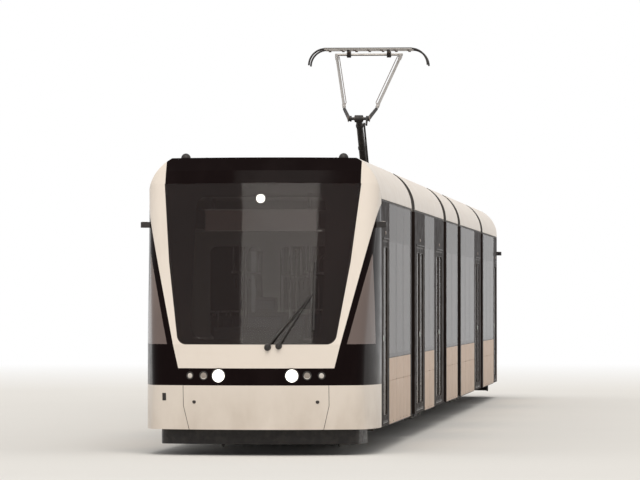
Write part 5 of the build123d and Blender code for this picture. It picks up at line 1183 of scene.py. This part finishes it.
# Bogies and wheels
def bogie_details(letter):
    """Spring coils, gearbox caps, bolts, motor boxes with cables, and brake wear plates of a bogie."""
    mesh = Mesh()
    x0 = BOGIES[letter]
    for side in BOTH:
        out = (0, side, 0)
        for end in BOTH:
            axle_x = x0 + end * WHEELBASE / 2
            for way in BOTH:
                x, y = axle_x + way * PRIMARY_X, side * BOGIE_SIDE_Y
                foot, head = ((x, y, z) for z in PRIMARY_Z)
                mesh.coil(foot, head, (0.049, 0, 0), (0, 0.049, 0), 4, 14, 0.007, 0, 7)
            face = (axle_x, side * GEARBOX_FACE_Y, AXLE_Z)
            mesh.bolt_ring(face, out, GEARBOX_LID_R - 0.016, 8, 0.009)
            mesh.lathe([(0, 0.034), (0.006, 0.032), (0.009, 0.02), (0.009, 0.0)], face, out, 0, 20)
            mesh.bolt_ring((axle_x, side * BEARING_FACE_Y, AXLE_Z), out, 0.119, 12, 0.008)
            for shift, radius, count in ((0.455, 0.046, 6), (0.34, 0.074, 8)):
                at = (x0 + end * shift, side * MOTOR_Y, MOTOR_Z)
                mesh.bolt_ring(at, (end, 0, 0), radius, count, 0.007)
            for z in (0.405, 0.430):
                for shift in (0.42, 0.66):
                    mesh.bolt((x0 + end * shift, side * BOX_BOLT_Y, z), out, 0.008, 0.008)
            shoe_x = x0 + end * 0.2
            mesh.soft_box(shoe_x - 0.17, shoe_x + 0.17, side * 0.722, side * 0.784, 0.041, 0.049, 0.003, 1)
        near, far = side * 1.02, side * 1.14
        mesh.soft_box(x0 - 0.10, x0 + 0.10, near, far, MOTOR_TOP_Z - 0.04, MOTOR_TOP_Z, 0.008)
        for x in (-0.08, 0.08):
            for y in (1.035, 1.125):
                mesh.bolt((x0 + x, side * y, MOTOR_TOP_Z), UP, 0.007, 0.006)
        cable = ((0.11, 1.08, -0.02), (0.15, 1.07, -0.01), (0.17, 1.03, 0.0), (0.17, 0.955, 0.003))
        mesh.tube([(x0 + x, side * y, MOTOR_TOP_Z + z) for x, y, z in cable], 0.012, 2, 10)
    mesh.fit("bogie_details", letter, (BOGIE, STEEL, RUBBER))


def wheelset_details(number):
    """Ring bolts, hub bolts and the raised ring on both wheels of an axle."""
    low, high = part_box(f"wheelset_{number}")
    x = (low[0] + high[0]) / 2
    mesh = Mesh()
    for side in BOTH:
        out = (0, side, 0)
        mesh.bolt_ring((x, side * RING_FACE_Y, AXLE_Z), out, 0.168, 10, 0.011)
        mesh.bolt_ring((x, side * HUB_FACE_Y, AXLE_Z), out, 0.074, 6, 0.009)
        ridge = [(0.0, 0.262), (0.003, 0.263), (0.004, 0.268), (0.003, 0.273), (0.0, 0.274)]
        mesh.lathe(ridge, (x, side * (WHEEL_FACE_Y - 0.001), AXLE_Z), out, 0, 48)
    mesh.make(f"wheel_details_{number}", f"wheelset_{number}", (STEEL, DARK))


# Pantograph
def panto_base_details():
    """Springs, damper, and the feet's discs and bolts on the pantograph's base."""
    mesh = Mesh()
    (x0, z0), z1 = PANTO_BASE, PANTO_SPRING_Z
    rail_low, rail_high = PANTO_RAIL_Z + 0.012, PANTO_RAIL_TOP_Z - 0.001
    for y in (-0.2, 0.2):
        mesh.rod((x0 + 0.05, y, z1), (x0 + 0.62, y, z1), 0.012)
        ends = (x0 + 0.1, y, z1), (x0 + 0.56, y, z1)
        mesh.coil(*ends, (0, 0.034, 0), (0, 0, 0.034), 18, 14, 0.006, 1, 6)
        for x in (x0 + 0.08, x0 + 0.58):
            mesh.lathe([(-0.012, 0.04), (0.012, 0.04)], (x, y, z1), AHEAD, 0, 20)
            mesh.soft_box(x - 0.012, x + 0.012, y - 0.03, y + 0.03, rail_high - 0.001, 3.52, 0.004)
        mesh.soft_box(x0 + 0.04, x0 + 0.64, y - 0.032, y + 0.032, rail_low, rail_high, 0.005)
    y = DAMPER_Y
    mesh.rod((-0.2, y, DAMPER_Z), (0.2, y, DAMPER_Z), 0.028, 0, 20)
    mesh.rod((-0.36, y, DAMPER_Z), (-0.2, y, DAMPER_Z), 0.012, 1, 14)
    for x in (-0.36, 0.19):
        mesh.soft_box(x - 0.015, x + 0.015, y - 0.03, y + 0.03, rail_high - 0.001, DAMPER_Z + 0.015, 0.005)
    mesh.soft_box(-0.38, 0.22, y - 0.025, y + 0.025, rail_low, rail_high, 0.005)
    for side in BOTH:
        y = side * PANTO_RAIL_Y
        for x in PANTO_FEET_X:
            mesh.lathe([(0, 0.062), (0.012, 0.062), (0.016, 0.05)], (x, y, PANTO_FOOT_Z), UP, 0, 24)
            mesh.bolt_ring((x, y, PANTO_FOOT_Z + 0.012), UP, 0.05, 4, 0.007)
            mesh.bolt((x, y, PANTO_RAIL_TOP_Z), UP, 0.013, 0.014)
        cap = [(0, 0.03), (0.006, 0.028), (0.010, 0.014)]
        mesh.lathe(cap, (x0, side * 0.138, z0), (0, side, 0), 1, 20)
    mesh.make("panto_base_details", "module_c", (DARK, STEEL))


def panto_lower_details(foot, knee):
    """Collars and hinge caps on the lower arm."""
    mesh = Mesh()
    for share, radius in ((0.12, 0.058), (0.5, 0.054), (0.88, 0.051)):
        collar = [(-0.02, radius), (-0.016, radius + 0.005), (0.016, radius + 0.005), (0.02, radius)]
        mesh.lathe(collar, along(foot, knee, share), Vector(knee) - Vector(foot), 0, 24)
    for side in BOTH:
        for (x, _, z), y in ((foot, 0.1), (knee, 0.06)):
            cap = [(0, 0.036), (0.006, 0.034), (0.008, 0.024)]
            mesh.lathe(cap, (x, side * y, z), (0, side, 0), 1, 20)
    mesh.make("panto_lower_details", "panto_lower_arm", (DARK, STEEL))


def panto_upper_details(knee, tip):
    """Collars on the upper tubes, and the levelling rods beside them."""
    mesh = Mesh()
    middle = along(knee, tip, YOKE_LENGTH / (Vector(tip) - Vector(knee)).length)
    for side in BOTH:
        start = (middle[0], side * YOKE_HALF, middle[2])
        end = (tip[0], side * UPPER_TUBE_TOP_Y, tip[2])
        collar = [(-0.05, 0.021), (-0.045, 0.0265), (0.045, 0.0265), (0.05, 0.021)]
        for share in (0.06, 0.94):
            mesh.lathe(collar, along(start, end, share), Vector(end) - Vector(start), 0, 20)
        rod_start, rod_end = along(start, end, 0.06), along(start, end, 0.955)
        path = []
        for share, off in ((0, 0.35), (0.03, 1), (0.97, 1), (1, 0.35)):
            x, y, z = along(rod_start, rod_end, share)
            path.append((x + 0.012 * off, y - side * 0.036 * off, z + 0.026 * off))
        mesh.tube(path, 0.006, 1)
        cap = [(0, 0.05), (0.01, 0.046), (0.014, 0.03)]
        mesh.lathe(cap, (knee[0], side * 0.15, knee[2]), (0, side, 0), 1, 20)
    mesh.make("panto_upper_details", "panto_upper_arm", (ALUMINIUM, STEEL))


def panto_head_details():
    """Holders of the contact strips, and the arms and springs that carry them."""
    mesh = Mesh()
    (x0, z0), top, half = HEAD, HEAD_TOP_Z, HEAD_STRIP_WIDTH / 2
    for side in BOTH:
        x = x0 + side * HEAD_STRIP_X
        for edge in BOTH:
            near, far = x + edge * (half - 0.001), x + edge * (half + 0.005)
            y = HEAD_STRAIGHT_HALF
            mesh.soft_box(near, far, -y, y, top - 0.031, top - 0.012, 0.002)
        for y in spread(-0.6, 0.6, 0.2):
            mesh.soft_box(x - 0.018, x + 0.018, y - 0.02, y + 0.02, top - 0.046, top - 0.029, 0.003, 1)
    for side in BOTH:
        y = side * 0.3
        for way in BOTH:
            mesh.tube([(x0, y, z0 + 0.03), (x0 + way * HEAD_STRIP_X, y, top - 0.05)], 0.009, 1)
            ends = (x0 + way * 0.03, y, z0 + 0.034), (x0 + way * 0.14, y, z0 + 0.052)
            mesh.coil(*ends, (0, 0.022, 0), (0, 0, 0.016), 9, 10, 0.0035, 1, 6)
        mesh.bolt_ring((x0, side * 0.33, z0), (0, side, 0), 0.033, 4, 0.006)
    mesh.make("panto_head_details", "panto_head", (ALUMINIUM, STEEL))


# Saloon and cab
def on_spine(spine, share):
    """Point and upward normal of a spine at a share of its length."""
    place = share * (len(spine) - 1)
    i = min(int(place), len(spine) - 2)
    rest = place - i
    here, ahead = spine[i], spine[i + 1]
    before, after = spine[max(i - 1, 0)], spine[min(i + 2, len(spine) - 1)]
    start = Vector((ahead[0] - before[0], ahead[1] - before[1])).normalized()
    end = Vector((after[0] - here[0], after[1] - here[1])).normalized()
    mean = (start * (1 - rest) + end * rest).normalized()
    return along(here, ahead, rest), (-mean.y, mean.x)


def pad(mesh, x0, y0, facing, spine, half, thick, channels=()):
    """Crowned closed pad on a spine: sides pulled in between the corners, and sewn channels."""
    top, under = [], []
    for i in range(19):
        s = -math.cos(math.pi * i / 18)
        (px, pz), (nx, nz) = on_spine(spine, (s + 1) / 2)
        top.append([])
        under.append([])
        for j in range(13):
            t = -math.cos(math.pi * j / 12)
            crown = max(0.0, (1 - s**4) * (1 - t**4)) ** 0.5
            for channel in channels:
                crown *= 1 - 0.3 * math.exp(-(((s - channel) / 0.05) ** 2))
            flat = max(0.0, (1 - s**10) * (1 - t**10)) ** 0.5
            y = y0 + half * t * (1 - 0.035 * (1 - s * s))
            slide = s**3 * 0.012 * (1 - t * t)
            for row, share in ((top[-1], 0.42 + 0.58 * crown), (under[-1], 0.42 * (1 - flat))):
                lift = thick * share + 0.0015
                row.append((x0 + facing * (px + nx * lift - slide * nz), y, pz + nz * lift + slide * nx))
    mesh.grid(top, flip=facing < 0)
    mesh.grid(under, flip=facing > 0)


def seat_pads(letter, key, turn):
    """Cushions and backs of a module's benches, two places each, and those of the driver."""
    mesh = Mesh(turn)
    near, benches = BENCHES[key]
    width = BENCH_WALL_Y - near
    half = (width - SEAT_SPLIT) / 4
    for side, x, facing in benches:
        for place in BOTH:
            y = side * (near + BENCH_WALL_Y) / 2 + place * (width / 4 + SEAT_SPLIT / 8)
            pad(mesh, x, y, facing, CUSHION_SPINE, half - 0.022, 0.034, (0.62,))
            pad(mesh, x, y, facing, BACK_SPINE, half - 0.026, 0.032, (-0.45, 0.35))
    if key == "a":
        pad(mesh, DRIVER_X, 0, 1, DRIVER_CUSHION_SPINE, 0.225, 0.045, (-0.2, 0.45))
        pad(mesh, DRIVER_X, 0, 1, DRIVER_BACK_SPINE, 0.205, 0.05, (-0.35, 0.3))
        pad(mesh, DRIVER_X, 0, 1, DRIVER_HEAD_SPINE, 0.11, 0.035)
    piece = mesh.fit("seat_pads", letter, (CLOTH,), weld=True)


def grab_rails(letter, key, turn):
    """Handles on the seat backs, ceiling rails with stubs and ring handles, and the light strips."""
    mesh = Mesh(turn)
    near, benches = BENCHES[key]
    for side, x, facing in benches:
        path = [(x + facing * dx, side * (near + 0.05 + dy), z) for dx, dy, z in SEAT_HANDLE]
        mesh.tube(path, 0.012, 0, 10)
    m0, m1 = MODULE_ENDS[key]
    x0, x1, z = m0 + 0.35, m1 - 0.45, RAIL_Z
    for side in BOTH:
        y = side * POLE_Y
        mesh.rod((x0, y, z), (x1, y, z), 0.016)
        for x in (x0, x1):
            mesh.lathe([(-0.01, 0.012), (0.0, 0.019), (0.01, 0.012)], (x, y, z), AHEAD, 0, 12)
        for x in spread(x0 + 0.1, x1 - 0.1, 1.3):
            mesh.rod((x, y, z), (x, y, CEILING_Z - 0.0005), 0.011, 0, 10)
            foot = [(0, 0.014), (0.006, 0.034), (0.012, 0.036)]
            mesh.lathe(foot, (x, y, CEILING_Z - 0.0125), UP, 0, 16)
        for x in spread(x0 + 0.35, x1 - 0.35, 0.75):
            mesh.soft_box(x - 0.014, x + 0.014, y - 0.022, y + 0.022, z - 0.075, z + 0.022, 0.006, 1)
            mesh.ring((x, y, z - 0.125), ACROSS, 0.052, 0.0085, 1, 22, 7)
        strip = (m0 + 0.065, LIGHT_END_X if key == "a" else m1 - 0.065, side * 0.557, side * 0.643)
        mesh.soft_box(*strip, CEILING_Z - 0.004, CEILING_Z + 0.014, 0.004, 2)
    mesh.fit("grab_rails", letter, (RAIL, SHELL, LIGHT))


def cab_details(letter, turn):
    """Console with three screens, control levers and keys, a tray on an arm, and the cab's grab rails."""
    mesh = Mesh(turn)
    mesh.soft_box(15.80, 15.965, -0.62, 0.62, DESK_TOP_Z, 1.25, 0.012)
    for y0, y1 in ((-0.50, -0.20), (-0.16, 0.16), (0.20, 0.50)):
        mesh.prism(*([(x, y, z) for x, z in CONSOLE] for y in (y0, y1)))
        places = [(15.772 + 0.08 * share, 1.2615 + 0.17 * share) for share in (0.07, 0.93)]
        mesh.grid([[(x, y, z) for y in (y0 + 0.018, y1 - 0.018)] for x, z in places], 1, smooth=False)
    for y, lean in ((-0.36, 0.05), (0.36, -0.03)):
        foot = [(0, 0.045), (0.012, 0.042), (0.02, 0.02)]
        mesh.lathe(foot, (LEVER_X, y, DESK_TOP_Z), UP, 0, 20)
        mesh.rod((LEVER_X, y, 1.2), (LEVER_X - lean, y, 1.30), 0.009, 2, 10)
        knob = [(0, 0.010), (0.012, 0.022), (0.035, 0.026), (0.055, 0.020), (0.062, 0.0)]
        mesh.lathe(knob, (LEVER_X - lean, y, 1.292), (-lean, 0, 0.3), 0, 18)
    for row in range(2):
        x, low, high = 15.70 + 0.035 * row, 1.184 + 0.014 * row, 1.205 + 0.006 * row
        for k in range(9):
            y, mark = -0.20 + 0.05 * k, 0 if (k + row) % 4 else 3
            mesh.soft_box(x - 0.010, x + 0.010, y - 0.013, y + 0.013, low, high, 0.004, mark)
    for y in BOTH:
        mesh.tube([(14.88, y, 1.0), (14.92, y, 1.02), (14.92, y, 1.78), (14.88, y, 1.80)], 0.013, 2, 10)
    mesh.soft_box(15.30, 15.60, -0.62, -0.30, 1.25, 1.27, 0.004)
    mesh.rod((15.45, -0.46, 1.25), (15.62, -0.46, 1.15), 0.012, 2, 10)
    mesh.fit("cab_details", letter, (SHELL, LENS_DARK, RAIL, INDICATOR))


# Stage
CAMERA_AT = Vector((66.41, 4.868, 1.705))
AIM_AT = Vector((15.0, 0.62, 2.42))
LENS_MM = 255.0
FLOOR_REACH = 400.0
SUN_WAY = Vector((-0.60, -0.06, -0.80))


def place(name, data, at, way):
    """Camera or lamp that looks a way."""
    made = bpy.data.objects.new(name, data)
    made.location = at
    made.rotation_euler = way.to_track_quat("-Z", "Y").to_euler()
    bpy.context.scene.collection.objects.link(made)
    return made


def studio_floor():
    """Plain pale floor that fades into the white background far out."""
    mesh = Mesh()
    corners = ((-1, -1), (1, -1), (1, 1), (-1, 1))
    mesh.add([(x * FLOOR_REACH, y * FLOOR_REACH, 0) for x, y in corners], [(0, 1, 2, 3)])
    made = Finish("studio_floor", (0.72, 0.71, 0.69), 0.9)
    made.patches(0.4, 2.0, 0.4, 0.7, 0.15, (0.68, 0.67, 0.65))
    fade = made.node("ShaderNodeVectorMath", operation="LENGTH")
    made.link(made.coords, fade.inputs[0])
    far = made.ramp(fade.outputs["Value"], 22.0, 60.0)
    glow = made.node("ShaderNodeEmission")
    glow.inputs["Color"].default_value = (1, 1, 1, 1)
    mix = made.node("ShaderNodeMixShader")
    for source, socket in zip((far, made.shader.outputs[0], glow.outputs[0]), mix.inputs):
        made.link(source, socket)
    made.link(mix.outputs[0], made.tree.nodes["Material Output"].inputs["Surface"])
    ground = mesh.make("studio_floor", None, (made.material,))


def studio_world():
    """Soft light from all round, and plain white where the background is seen or reflected."""
    world = bpy.data.worlds.new("studio")
    bpy.context.scene.world = world
    world.use_nodes = True
    tree = world.node_tree
    soft, white = tree.nodes["Background"], tree.nodes.new("ShaderNodeBackground")
    for shader, color, strength in ((soft, (1.0, 0.985, 0.96, 1), 0.62), (white, (1, 1, 1, 1), 1.0)):
        shader.inputs["Color"].default_value = color
        shader.inputs["Strength"].default_value = strength
    path = tree.nodes.new("ShaderNodeLightPath")
    seen = path.outputs["Is Camera Ray"]
    for kind in ("Is Glossy Ray", "Is Transmission Ray"):
        either = tree.nodes.new("ShaderNodeMath")
        either.operation = "MAXIMUM"
        tree.links.new(seen, either.inputs[0])
        tree.links.new(path.outputs[kind], either.inputs[1])
        seen = either.outputs[0]
    mixed = tree.nodes.new("ShaderNodeMixShader")
    for source, socket in zip((seen, soft.outputs[0], white.outputs[0]), mixed.inputs):
        tree.links.new(source, socket)
    tree.links.new(mixed.outputs[0], tree.nodes["World Output"].inputs["Surface"])


def stage():
    """Camera, floor, soft light and a white background."""
    camera_data = bpy.data.cameras.new("camera")
    camera_data.lens = LENS_MM
    camera_data.sensor_width = 36.0
    camera_data.clip_end = 400.0
    bpy.context.scene.camera = place("camera", camera_data, CAMERA_AT, AIM_AT - CAMERA_AT)
    studio_floor()
    studio_world()
    sun_data = bpy.data.lights.new("key", "SUN")
    sun_data.energy = 1.85
    sun_data.angle = math.radians(40)
    sun_data.color = (1.0, 0.95, 0.88)
    place("key", sun_data, (0, 0, 0), SUN_WAY)
    bpy.context.scene.view_settings.view_transform = "Standard"


stage()
dress_nodes()
for pivot_number in PIVOTS:
    bellows(pivot_number)
FRONT_PIECES = (
    screen_border, sign_box, lamp_details, wiper_details, bumper_details, camera_details, cap_back,
    cab_details,
)
for end_letter, end_turn in TWIN_ENDS:
    for make_piece in FRONT_PIECES:
        make_piece(end_letter, end_turn)
for module_letter in "abcde":
    window_details(module_letter)
    if module_letter != "c":
        door_details(module_letter)
    panel_details(module_letter)
for module_letter, module_key, module_turn in MODULE_TWINS:
    roof_details(module_letter, module_key, module_turn)
    seat_pads(module_letter, module_key, module_turn)
    grab_rails(module_letter, module_key, module_turn)
for bogie_letter in BOGIES:
    bogie_details(bogie_letter)
for wheelset_number in range(1, 7):
    wheelset_details(wheelset_number)
panto_base_details()
foot_at, knee_at, tip_at = ((x, 0, z) for x, z in (PANTO_BASE, KNUCKLE, HEAD))
panto_lower_details(foot_at, knee_at)
panto_upper_details(knee_at, tip_at)
panto_head_details()
